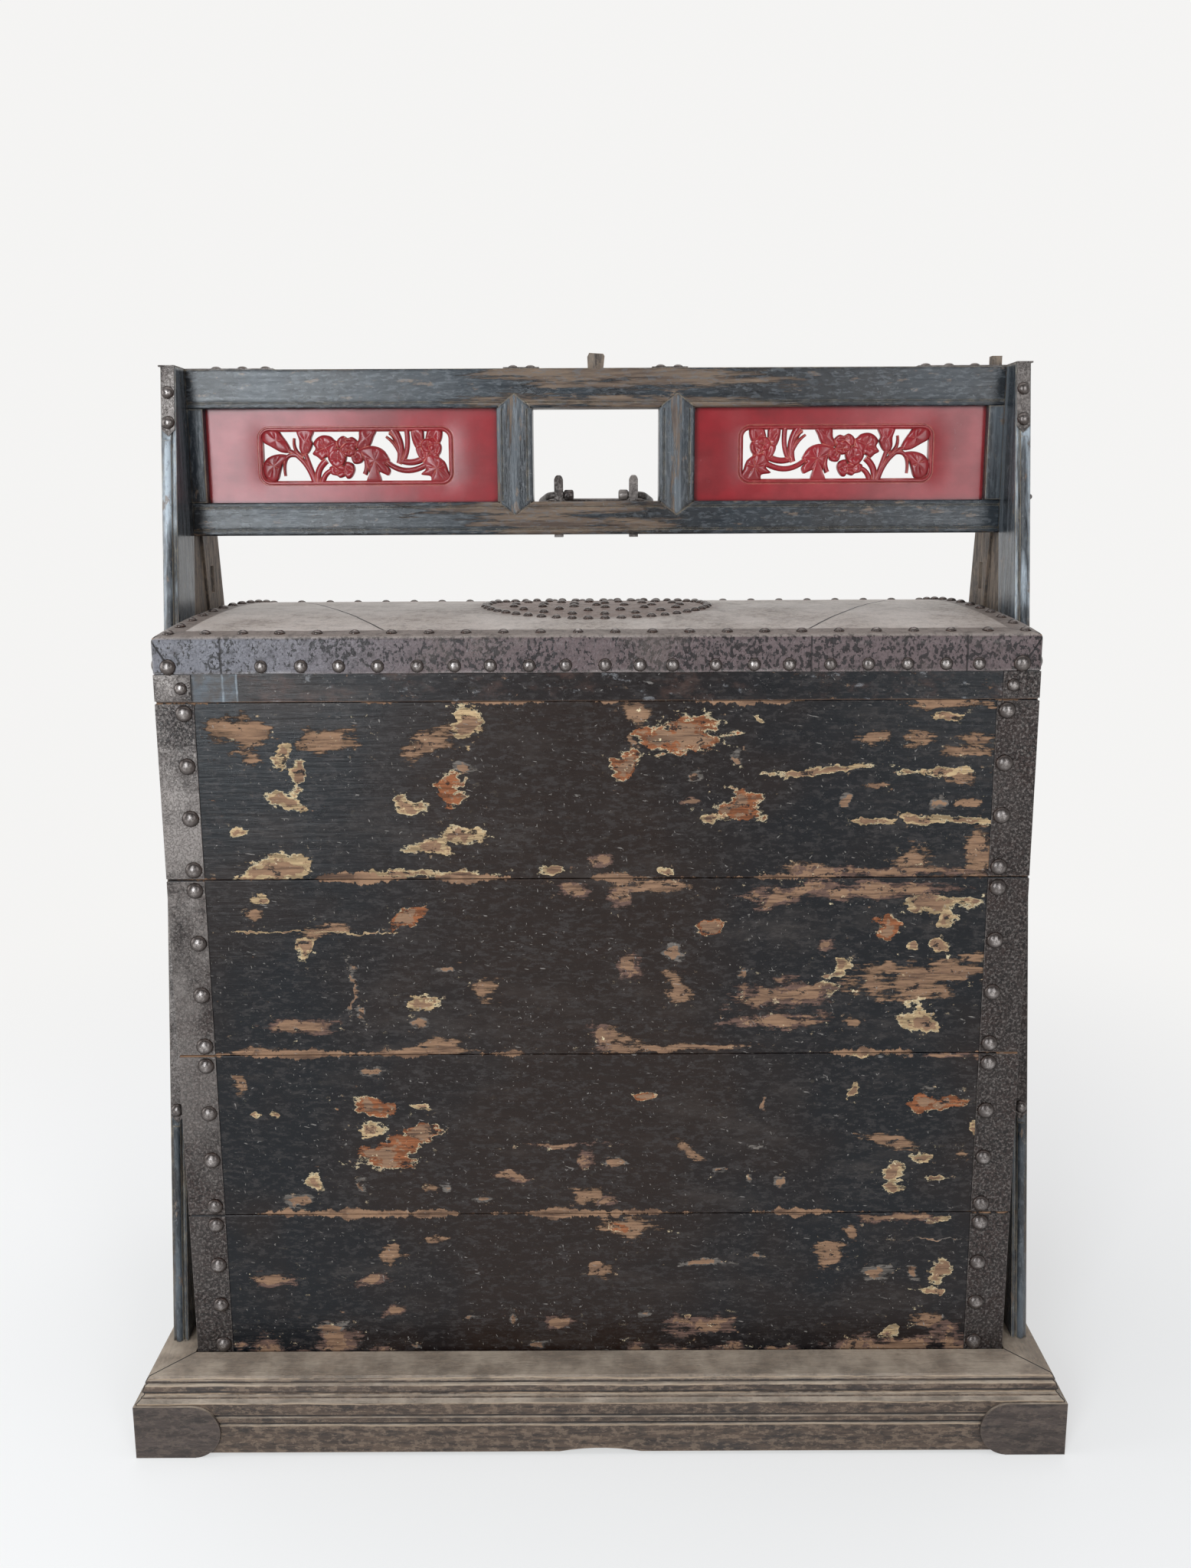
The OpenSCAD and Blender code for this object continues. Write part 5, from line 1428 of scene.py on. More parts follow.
def nail_tree() -> bpy.types.NodeTree:
    """Builds the geometry nodes that set a forged dome nail on each point.

    Returns:
        The node tree, the same one on each call.
    """
    found = bpy.data.node_groups.get("forged dome nails")
    if found is not None:
        return found
    tree = bpy.data.node_groups.new("forged dome nails", "GeometryNodeTree")
    sockets = (("Seats", "Geometry", None), ("Sides", "Int", 12), ("Rings", "Int", 4),
               ("Lean", "Float", 0.07), ("Uneven", "Float", 0.06), ("Seed", "Int", 1),
               ("Iron", "Material", None))
    for name, kind, value in sockets:
        socket = tree.interface.new_socket(name, in_out="INPUT", socket_type=f"NodeSocket{kind}")
        if value is not None:
            socket.default_value = value
    tree.interface.new_socket("Nails", in_out="OUTPUT", socket_type="NodeSocketGeometry")
    graph = Graph(tree)
    source = graph.add("NodeGroupInput").outputs
    cone = graph.add("GeometryNodeMeshCone", {
        "Vertices": source["Sides"], "Side Segments": source["Rings"], "Radius Top": 0.0,
        "Radius Bottom": 1.0, "Depth": 1.0})
    place = graph.add("ShaderNodeSeparateXYZ", {0: graph.get("GeometryNodeInputPosition")}).outputs
    turn = graph.times(place[2], math.pi / 2)
    to_tip = graph.most(graph.minus(1.0, place[2]), 0.001)
    grow = graph.maths("DIVIDE", graph.maths("COSINE", turn), to_tip)
    height = graph.minus(graph.times(graph.maths("SINE", turn), 1.0 + NAIL_SUNK), NAIL_SUNK)
    dome = graph.get("ShaderNodeCombineXYZ", {
        0: graph.times(place[0], grow), 1: graph.times(place[1], grow), 2: height})
    crowned = graph.get("GeometryNodeStoreNamedAttribute", {
        "Geometry": cone.outputs["Mesh"], "Name": "crown", "Value": place[2]},
        data_type="FLOAT", domain="POINT")
    domed = graph.get("GeometryNodeSetPosition", {"Geometry": crowned, "Position": dome})

    def stored(name: str, kind: str) -> Socket:
        """Reads an attribute of the seats."""
        return graph.get("GeometryNodeInputNamedAttribute", {"Name": name}, data_type=kind)

    def random_float(low: Feed, high: Feed, offset: int) -> Socket:
        """Draws a number for each nail; the offset sets each draw apart."""
        feeds = {2: low, 3: high, 8: graph.plus(source["Seed"], offset)}
        return graph.add("FunctionNodeRandomValue", feeds, data_type="FLOAT").outputs[1]

    axis = stored("axis", "FLOAT_VECTOR")
    upright = graph.get("FunctionNodeAlignRotationToVector", {"Vector": axis}, axis="Z")
    negative = graph.times(source["Lean"], -1.0)
    tilt = graph.get("ShaderNodeCombineXYZ", {
        0: random_float(negative, source["Lean"], 11), 1: random_float(negative, source["Lean"], 23),
        2: random_float(0.0, 2 * math.pi, 37)})
    spin = graph.get("FunctionNodeEulerToRotation", {0: tilt})
    feeds = {"Rotation": upright, "Rotate By": spin}
    turned = graph.get("FunctionNodeRotateRotation", feeds, rotation_space="LOCAL")
    least = graph.minus(1.0, source["Uneven"])
    girth = graph.times(stored("girth", "FLOAT"), random_float(least, 1.0, 41))
    rise = graph.times(stored("rise", "FLOAT"), random_float(least, 1.0, 53))
    size = graph.get("ShaderNodeCombineXYZ", {0: girth, 1: girth, 2: rise})
    nails = graph.get("GeometryNodeInstanceOnPoints", {
        "Points": source["Seats"], "Instance": domed, "Rotation": turned, "Scale": size})
    aged = graph.get("GeometryNodeStoreNamedAttribute", {
        "Geometry": nails, "Name": "age", "Value": random_float(0.0, 1.0, 67)},
        data_type="FLOAT", domain="INSTANCE")
    solid = graph.get("GeometryNodeRealizeInstances", {"Geometry": aged})
    smooth = graph.get("GeometryNodeSetShadeSmooth", {"Geometry": solid})
    clad = graph.get("GeometryNodeSetMaterial", {"Geometry": smooth, "Material": source["Iron"]})
    graph.add("NodeGroupOutput", {0: clad})
    return tree


@dataclass
class DomeNails:
    """A group of forged dome nails, set where the CAD has them.

    The front row follows front_x where that is given, None being a lost head.
    """

    group: str
    body: str
    seed: int
    sides: int = 12
    rings: int = 4
    uneven: float = 0.06
    swell: float = 1.0
    front_x: tuple[float | None, ...] = ()

    def seats(self, node: bpy.types.Object) -> list[Seat]:
        """Reads the seats and shifts the front row to the nails' own places.

        Args:
            node: The CAD nails.

        Returns:
            The seats, without those of lost heads.
        """
        seats = [Seat(seat.place, seat.axis, seat.radius * self.swell, seat.height * (self.swell + 1) / 2)
                 for seat in read_seats(node)]
        front = [i for i, seat in enumerate(seats) if self.front_x and seat.axis.y < FRONT_FACING
                 and seat.place.z > SKIRT_MIDDLE]
        if len(front) != len(self.front_x):
            LOG.warning("%s: %d front seats for %d nails", self.group, len(front), len(self.front_x))
            return seats
        for i, x in zip(front, self.front_x):
            old = seats[i]
            place = Vector((old.place.x if x is None else x * MM, old.place.y, old.place.z))
            seats[i] = Seat(place, old.axis, old.radius, old.height)
        lost = {i for i, x in zip(front, self.front_x) if x is None}
        return [seat for i, seat in enumerate(seats) if i not in lost]

    def build(self, frame: dict, finish: Finish) -> bpy.types.Object:
        """Sets the nails and ties them to their body.

        Args:
            frame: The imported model, as loaded.
            finish: The nails' finish.

        Returns:
            The piece with all the nails.
        """
        node, name = f"{self.group}_nails", f"{self.group}_dome_nails"
        seats = self.seats(frame["nodes"][node])
        mesh = bpy.data.meshes.new(name)
        mesh.from_pydata([seat.place for seat in seats], [], [])
        mesh.attributes.new("axis", "FLOAT_VECTOR", "POINT").data.foreach_set(
            "vector", [v for seat in seats for v in seat.axis])
        mesh.attributes.new("girth", "FLOAT", "POINT").data.foreach_set("value", [s.radius for s in seats])
        mesh.attributes.new("rise", "FLOAT", "POINT").data.foreach_set("value", [s.height for s in seats])
        points = placed(name + "_seats", mesh)
        tree = nail_tree()
        sockets = {item.name: item.identifier for item in tree.interface.items_tree if item.in_out == "INPUT"}
        modifier = points.modifiers.new("nails", "NODES")
        modifier.node_group = tree
        settings = {"Sides": self.sides, "Rings": self.rings, "Uneven": self.uneven, "Seed": self.seed,
                    "Iron": finish.material()}
        for setting, value in settings.items():
            modifier[sockets[setting]] = value
        ready = points.evaluated_get(bpy.context.evaluated_depsgraph_get())
        made = bpy.data.meshes.new_from_object(ready)
        made.name = name
        points.modifiers.remove(modifier)
        bpy.data.objects.remove(points)
        return dress(placed(name, made), finish, self.body, "dome_nail_iron", node)


# Lid


@dataclass
class LeatherCover:
    """The hide over the lid: a cambered top and a skirt folded down round it."""

    half_x: float = 435.0
    half_y: float = 215.0
    fold_z: float = 859.7
    crown_z: float = 872.2
    skirt_z: float = 822.2
    fold_r: float = 6.0
    corner_r: float = 5.0
    thick: float = 1.9
    puff: float = 0.5
    insets: tuple[float, ...] = (9.0, 14.0, 22.0, 34.0, 50.0, 75.0, 105.0, 140.0, 175.0, 205.0)

    def camber(self, y: float) -> float:
        """Gives the height of the top at a depth.

        Args:
            y: Distance from the lid's middle line, in millimetres.

        Returns:
            The height.
        """
        rise = self.crown_z - self.fold_z
        radius = (self.half_y ** 2 + rise ** 2) / (2 * rise)
        return self.crown_z - radius + math.sqrt(radius ** 2 - y * y)

    def ring(self, inset: float, drop: float, level: float | None = None) -> list[Spot]:
        """Walks round the lid at an inset.

        Args:
            inset: Distance inwards from the outside.
            drop: Distance below the cambered top.
            level: A fixed height in place of the drop.

        Returns:
            The ring's points.
        """
        corner = max(self.corner_r - inset, 0.4)
        outline = rounded_outline(self.half_x - inset, self.half_y - inset, corner, 5, 48)
        ring = []
        for x, y in outline:
            top = self.camber(min(abs(y), self.half_y))
            z = top - drop if level is None else level
            spot = Vector((x, y, z))
            ripple = noise.noise(spot * 0.018) + 0.5 * noise.noise(spot * 0.05)
            if level is not None:
                spot.z += max(0.0, self.puff * (ripple + 0.4)) * (1.0 if level < self.skirt_z + 0.5 else 0.4)
            else:
                spot.z -= self.puff * (0.5 + 0.5 * ripple)
            ring.append(tuple(spot))
        return ring

    def build(self, finish: Finish) -> bpy.types.Object:
        """Lofts the hide from the skirt's inner edge to the middle of the top.

        Args:
            finish: The leather's finish.

        Returns:
            The cover.
        """
        low = self.skirt_z
        inner = self.thick
        rings = [self.ring(inner, 0.0, self.fold_z - 8), self.ring(inner, 0.0, low + 0.5)]
        rings += [self.ring(inner * 0.6, 0.0, low + 0.1), self.ring(inner * 0.25, 0.0, low + 0.3)]
        rings += [self.ring(0.0, 0.0, low + step) for step in (1.0, 5.0, 10.0, 16.0, 22.0)]
        for k in range(7):
            angle = math.pi / 2 * k / 6
            rings.append(self.ring(self.fold_r * (1 - math.cos(angle)), self.fold_r * (1 - math.sin(angle))))
        rings += [self.ring(inset, 0.0) for inset in self.insets]
        shape = Shape()
        shape.loft(rings, cap_first=False)
        under = [(x, y, z - self.thick) for x, y, z in rings[-1]]
        shape.loft([rings[0], [(x * 0.98, y * 0.96, self.fold_z - 8) for x, y, _ in rings[0]], under],
                   cap_first=False)
        return dress(shape.piece("lid_hide"), finish, "lid", "lid_leather", "lid_leather_cover")


# Carved panels


@dataclass(frozen=True)
class Stem:
    """A carved stem or slim leaf along a curve of three points, in millimetres."""

    root: Point
    bend: Point
    tip: Point
    width: float = 5.0
    end_width: float = 4.0


@dataclass(frozen=True)
class Lobe:
    """A carved leaf or petal, drawn by its outline round a middle, in millimetres.

    It is cupped where cup is 1 and swells where cup is -1.
    """

    middle: Point
    lift: float
    cup: int
    veins: int
    outline: tuple[Point, ...]


STEMS = (
    Stem((-47, -29), (-54.5, -3), (-74.5, 6), 6.0, 4.5),
    Stem((-46, -29), (-52.5, -9.5), (-56.5, 2.5), 5.0, 4.0),
    Stem((-64.5, 1), (-83.5, 6.5), (-80, -21.5), 5.0, 2.5),
    Stem((-59, -1), (-71, 5.5), (-68.5, 20), 4.5, 2.5),
    Stem((-43.5, -29), (-46, -14.5), (-33.5, -4.5), 6.0, 6.5),
    Stem((-39, -29), (-36, -18), (-28, -15.5), 5.5, 4.5),
    Stem((10, -1), (13.5, -11), (9, -20), 4.5, 5.0),
    Stem((32.5, -5), (53.5, -25), (80, -8.5), 5.0, 5.5),
    Stem((41, 28.5), (54.5, 10), (47.5, -8.5), 9.5, 5.5),
    Stem((49, 3.5), (44, 14.5), (34, 21), 5.0, 2.5),
    Stem((50, 9.5), (45, 21.5), (37.5, 24.5), 4.5, 2.5),
    Stem((57, 28.5), (60, 4.5), (51, -7), 5.0, 4.5),
    Stem((50, -5), (62.5, -10), (76.5, -2), 5.5, 6.5),
    Stem((64.5, 27), (65, 14.5), (71.5, 8), 5.0, 6.0),
    Stem((91.5, 2.5), (85, -1), (83, -11), 6.0, 7.0),
)
LOBES = (
    Lobe((-88.5, 17.5), 0.0, -1, 3, ((-74, 5.5), (-76, 13), (-82, 22), (-87.5, 28), (-100, 28),
         (-104.5, 21.5), (-102, 15.5), (-94.5, 11), (-83, 5))),
    Lobe((-92, -10.5), 0.2, -1, 4, ((-76, 0.5), (-84.5, 2), (-93.5, 0.5), (-100.5, -4), (-104.5, -13),
         (-100.5, -23.5), (-92.5, -27), (-88, -23.5), (-85.5, -15.5), (-82.5, -8), (-77, -3))),
    Lobe((-55.5, 16), 0.3, -1, 2, ((-58.5, 1.5), (-62.5, 8.5), (-62.5, 17.5), (-64.5, 28.5), (-47.5, 28.5),
         (-50, 19), (-48.5, 14), (-52.5, 5.5))),
    Lobe((-19.5, -16.5), 0.0, 1, 3, ((-28, -11.5), (-19, -10), (-11, -12.5), (-12, -19.5), (-18.5, -23),
         (-22, -21), (-27.5, -19.5), (-29.5, -15))),
    Lobe((-8, -14.5), 0.1, 1, 2, ((-12, -7.5), (-5, -8.5), (-2.5, -14.5), (-6, -22), (-10.5, -23.5),
         (-13, -18.5))),
    Lobe((1, -1), 0.2, 1, 2, ((-4.5, 5), (5.5, 5.5), (8, -1), (5, -6.5), (-2, -7.5), (-5, -1.5))),
    Lobe((-34, 9.5), 0.5, 1, 4, ((-36, 21.5), (-29, 20.5), (-25, 17), (-21, 14.5), (-22, 7.5), (-27, 1),
         (-34, 0), (-37.5, -3.5), (-42.5, 0.5), (-47, 3.5), (-44, 8.5), (-46, 13.5), (-42, 19))),
    Lobe((-21, -2), 0.9, 1, 3, ((-29.5, 4.5), (-22, 8), (-14, 5), (-12, -2), (-16, -10), (-22, -12.5),
         (-27.5, -8), (-30.5, -2))),
    Lobe((-10, 15.5), 0.7, 1, 3, ((-20, 16), (-17, 20), (-13, 21.5), (-9, 19.5), (-4.5, 20.5), (0, 17),
         (1.5, 12.5), (-4, 8.5), (-13, 8), (-19.5, 10.5))),
    Lobe((-8, 6.5), 1.5, 1, 5, ((-15.5, 9.5), (-11, 13), (-4.5, 12.5), (-0.5, 9), (-1, 3.5), (-5.5, 0),
         (-12, 1), (-16, 4.5))),
    Lobe((12, 19), 0.4, -1, 2, ((0.5, 11), (4, 19), (6, 28.5), (22, 28.5), (19.5, 20.5), (16, 12.5),
         (10.5, 9), (4.5, 7.5))),
    Lobe((21, -5), 0.6, -1, 5, ((3, 6.5), (11.5, 10), (22, 10), (30, 6), (35, -1), (36.5, -5), (32.5, -8),
         (37, -14.5), (35, -20.5), (29.5, -18.5), (25, -17), (27, -23.5), (26, -28.5), (11.5, -28.5),
         (14.5, -18.5), (12, -9), (10, -2), (6, 2))),
    Lobe((69.5, 19.5), 0.2, 1, 2, ((63.5, 28.5), (74, 28.5), (75.5, 20.5), (74.5, 13.5), (69, 11),
         (64.5, 18))),
    Lobe((86.5, 20), 0.3, 1, 3, ((79.5, 23), (82.5, 28.5), (94, 28.5), (95.5, 21.5), (92, 13.5), (85, 12.5),
         (79, 16))),
    Lobe((75, 3), 0.3, 1, 2, ((67.5, 8.5), (74, 11.5), (80.5, 9), (81.5, 1), (76.5, -5), (70.5, -1))),
    Lobe((89.5, 6.5), 0.4, 1, 2, ((83.5, 12.5), (91.5, 14.5), (95, 9.5), (93, 2), (86.5, -1), (82, 4.5))),
    Lobe((80.5, 11), 1.3, 1, 5, ((73.5, 13.5), (78, 18), (84, 17.5), (87.5, 12.5), (86.5, 6.5), (81, 3.5),
         (75, 6.5))),
    Lobe((90.5, -13.5), 0.5, -1, 5, ((79, 1), (88, 0.5), (96.5, -5), (99.5, -9), (102, -16.5), (105.5, -25),
         (96.5, -29), (84.5, -28.5), (83, -22), (73, -20), (78, -14.5), (75.5, -8))),
)


WINDOW_MOULDING = (
    (240.0, 0.0), (30.0, 0.0), (6.4, 0.0), (5.7, -0.1), (5.2, -0.9), (4.6, -0.9), (4.1, 0.1), (3.6, 0.7),
    (3.0, 0.9), (2.4, 0.9), (1.8, 0.7), (1.3, 0.1), (1.0, -0.6), (0.5, -0.8), (0.0, -1.4),
)


@dataclass
class CarvedPanel:
    """A red panel with a moulded window and an openwork scroll of flowers in it."""

    side: str
    hand: int
    field_mid: float = 267.75
    mid_z: float = 1039.45
    face_y: float = -4.0
    thick: float = 8.0
    half_w: float = 103.5
    half_h: float = 26.8
    corner_r: float = 8.0
    back: float = -7.0

    def spot(self, u: float, w: float, h: float) -> Spot:
        """Places a point of the drawing, h being how far it stands out of the face."""
        return self.hand * (self.field_mid - u), self.face_y - h, self.mid_z + w

    def board(self) -> bpy.types.Object:
        """Builds the board with the moulding round its window.

        Returns:
            The board.
        """
        lo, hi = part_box(f"{self.side}_carved_panel")
        left, right = lo.x / MM, hi.x / MM
        low, high = lo.z / MM, hi.z / MM
        rings = []
        for offset, h in (*WINDOW_MOULDING, (0.0, -self.thick)):
            outline = rounded_outline(self.half_w + offset, self.half_h + offset,
                                      self.corner_r + offset, 8, 14)
            ring = []
            for u, w in outline:
                x, y, z = self.spot(u, w, h)
                ring.append((min(max(x, left), right), y, min(max(z, low), high)))
            rings.append(ring)
        behind = [(x, self.face_y + self.thick, z) for x, _, z in rings[0]]
        shape = Shape()
        shape.loft([*rings, behind, rings[0]], cap_first=False, cap_last=False)
        return shape.piece(f"{self.side}_panel_board", 30.0)

    def lobe(self, shape: Shape, lobe: Lobe) -> None:
        """Carves a leaf or a petal with veins that run out from its middle.

        Args:
            shape: What it is added to.
            lobe: Its outline and relief.
        """
        middle = Vector(lobe.middle)
        grow = 1.13 if lobe.cup > 0 else 1.05
        edge = smooth_loop([Vector(p) for p in lobe.outline], 4)
        bearings = [math.atan2(p.y - middle.y, p.x - middle.x) for p in edge]
        rings = []
        for reach in (0.07, 0.24, 0.44, 0.62, 0.78, 0.89, 0.96, 1.0):
            ring = []
            for place, bearing in zip(edge, bearings):
                if lobe.cup > 0:
                    relief = 2.1 * math.sin(math.pi * reach ** 1.5) ** 0.8 - 1.0
                else:
                    relief = 1.5 * (1 - reach ** 2.2) + 0.2
                vein = (0.5 + 0.5 * math.cos(lobe.veins * bearing + lobe.lift * 9)) ** 6
                relief -= 1.3 * vein * math.sin(math.pi * min(reach * 0.96, 1.0))
                relief -= 1.5 * max(0.0, reach - 0.86) / 0.14
                p = middle + (place - middle) * (reach * grow)
                ring.append(self.spot(p.x, p.y, lobe.lift + relief))
            rings.append(ring)
        rings.append([self.spot(*(middle + (p - middle) * grow), self.back) for p in edge])
        shape.loft(rings)

    def stem(self, shape: Shape, stem: Stem) -> None:
        """Carves a round stem.

        Args:
            shape: What it is added to.
            stem: Its place and widths.
        """
        rings = []
        for i in range(13):
            t = i / 12
            place, ahead = bezier(stem.root, stem.bend, stem.tip, t)
            normal = Vector((-ahead.y, ahead.x))
            half = (stem.width + (stem.end_width - stem.width) * t) * 0.6
            ring = []
            for angle in turns(12):
                p = place + normal * (half * math.cos(angle))
                ring.append(self.spot(p.x, p.y, -3.2 + 3.8 * math.sin(angle)))
            rings.append(ring)
        shape.loft(rings)

    def build(self, finish: Finish) -> None:
        """Builds the board and the scroll and ties both to the frame.

        Args:
            finish: The red lacquer.
        """
        node = f"{self.side}_carved_panel"
        dress(self.board(), finish, "carrier", "red_lacquer", node)
        shape = Shape()
        for stem in STEMS:
            self.stem(shape, stem)
        for lobe in LOBES:
            self.lobe(shape, lobe)
        dress(shape.piece(f"{self.side}_panel_scroll", 50.0), finish, "carrier", "red_lacquer", node)


# Bail


@dataclass
class Bail:
    """The drop handle that lies on the lower rail, forged from one rod."""

    hinge_z: float = 995.7
    rod_r: float = 4.0
    knob_r: float = 6.0
    knob_len: float = 11.0
    knob_in: float = 25.15
    arm_x: float = 52.25
    splay: float = 12.0
    reach: float = 46.0
    droop: float = 9.0
    bend_r: float = 9.0

    def path(self) -> list[Vector]:
        """Gives the rod's middle line, with its bends rounded.

        Returns:
            Points of the line, with the hinge as their origin.
        """
        corners = [Vector((x, 0.0, z)) for x, z in (
            (self.knob_in + 1, 0.0), (self.arm_x, 0.0), (self.arm_x + self.splay, self.reach),
            (-self.arm_x - self.splay, self.reach), (-self.arm_x, 0.0), (-self.knob_in - 1, 0.0))]
        points = [corners[0]]
        for before, here, after in zip(corners, corners[1:], corners[2:]):
            start = here + (before - here).normalized() * self.bend_r
            end = here + (after - here).normalized() * self.bend_r
            for k in range(7):
                t = k / 6
                points.append((1 - t) ** 2 * start + 2 * t * (1 - t) * here + t * t * end)
        return [*points, corners[-1]]

    def build(self, finish: Finish) -> bpy.types.Object:
        """Sweeps the rod and adds its knobs.

        Args:
            finish: The iron's finish.

        Returns:
            The handle.
        """
        points = self.path()
        across = Vector((0.0, 1.0, 0.0))
        shape = Shape()
        rings = []
        for i, point in enumerate(points):
            ahead = (points[min(i + 1, len(points) - 1)] - points[max(i - 1, 0)]).normalized()
            aside = across.cross(ahead)
            rings.append([point + self.rod_r * 0.97 * (math.cos(a) * aside + math.sin(a) * across)
                          for a in turns(16)])
        shape.loft(rings)
        for hand in (-1, 1):
            knob = []
            for at, part in ((0.0, 0.55), (0.6, 0.85), (1.8, 1.0), (self.knob_len - 1.8, 1.0),
                             (self.knob_len - 0.6, 0.85), (self.knob_len, 0.6)):
                x = hand * (self.knob_in + at)
                knob.append([Vector((x, self.knob_r * part * math.cos(a), self.knob_r * part * math.sin(a)))
                             for a in turns(16)])
            shape.loft(knob)
        turn = Matrix.Translation((0.0, 0.0, self.hinge_z)) @ Matrix.Rotation(
            math.radians(-90 - self.droop), 4, "X")
        shape.verts = [turn @ v for v in shape.verts]
        return dress(shape.piece("bail_rod"), finish, "bail", "sheet_iron", "bail_handle")


# The chest's parts


def flakes(*rows: tuple[float | Tone, ...]) -> tuple[Flake, ...]:
    """Makes flakes from rows of numbers."""
    return tuple(Flake(*row) for row in rows)


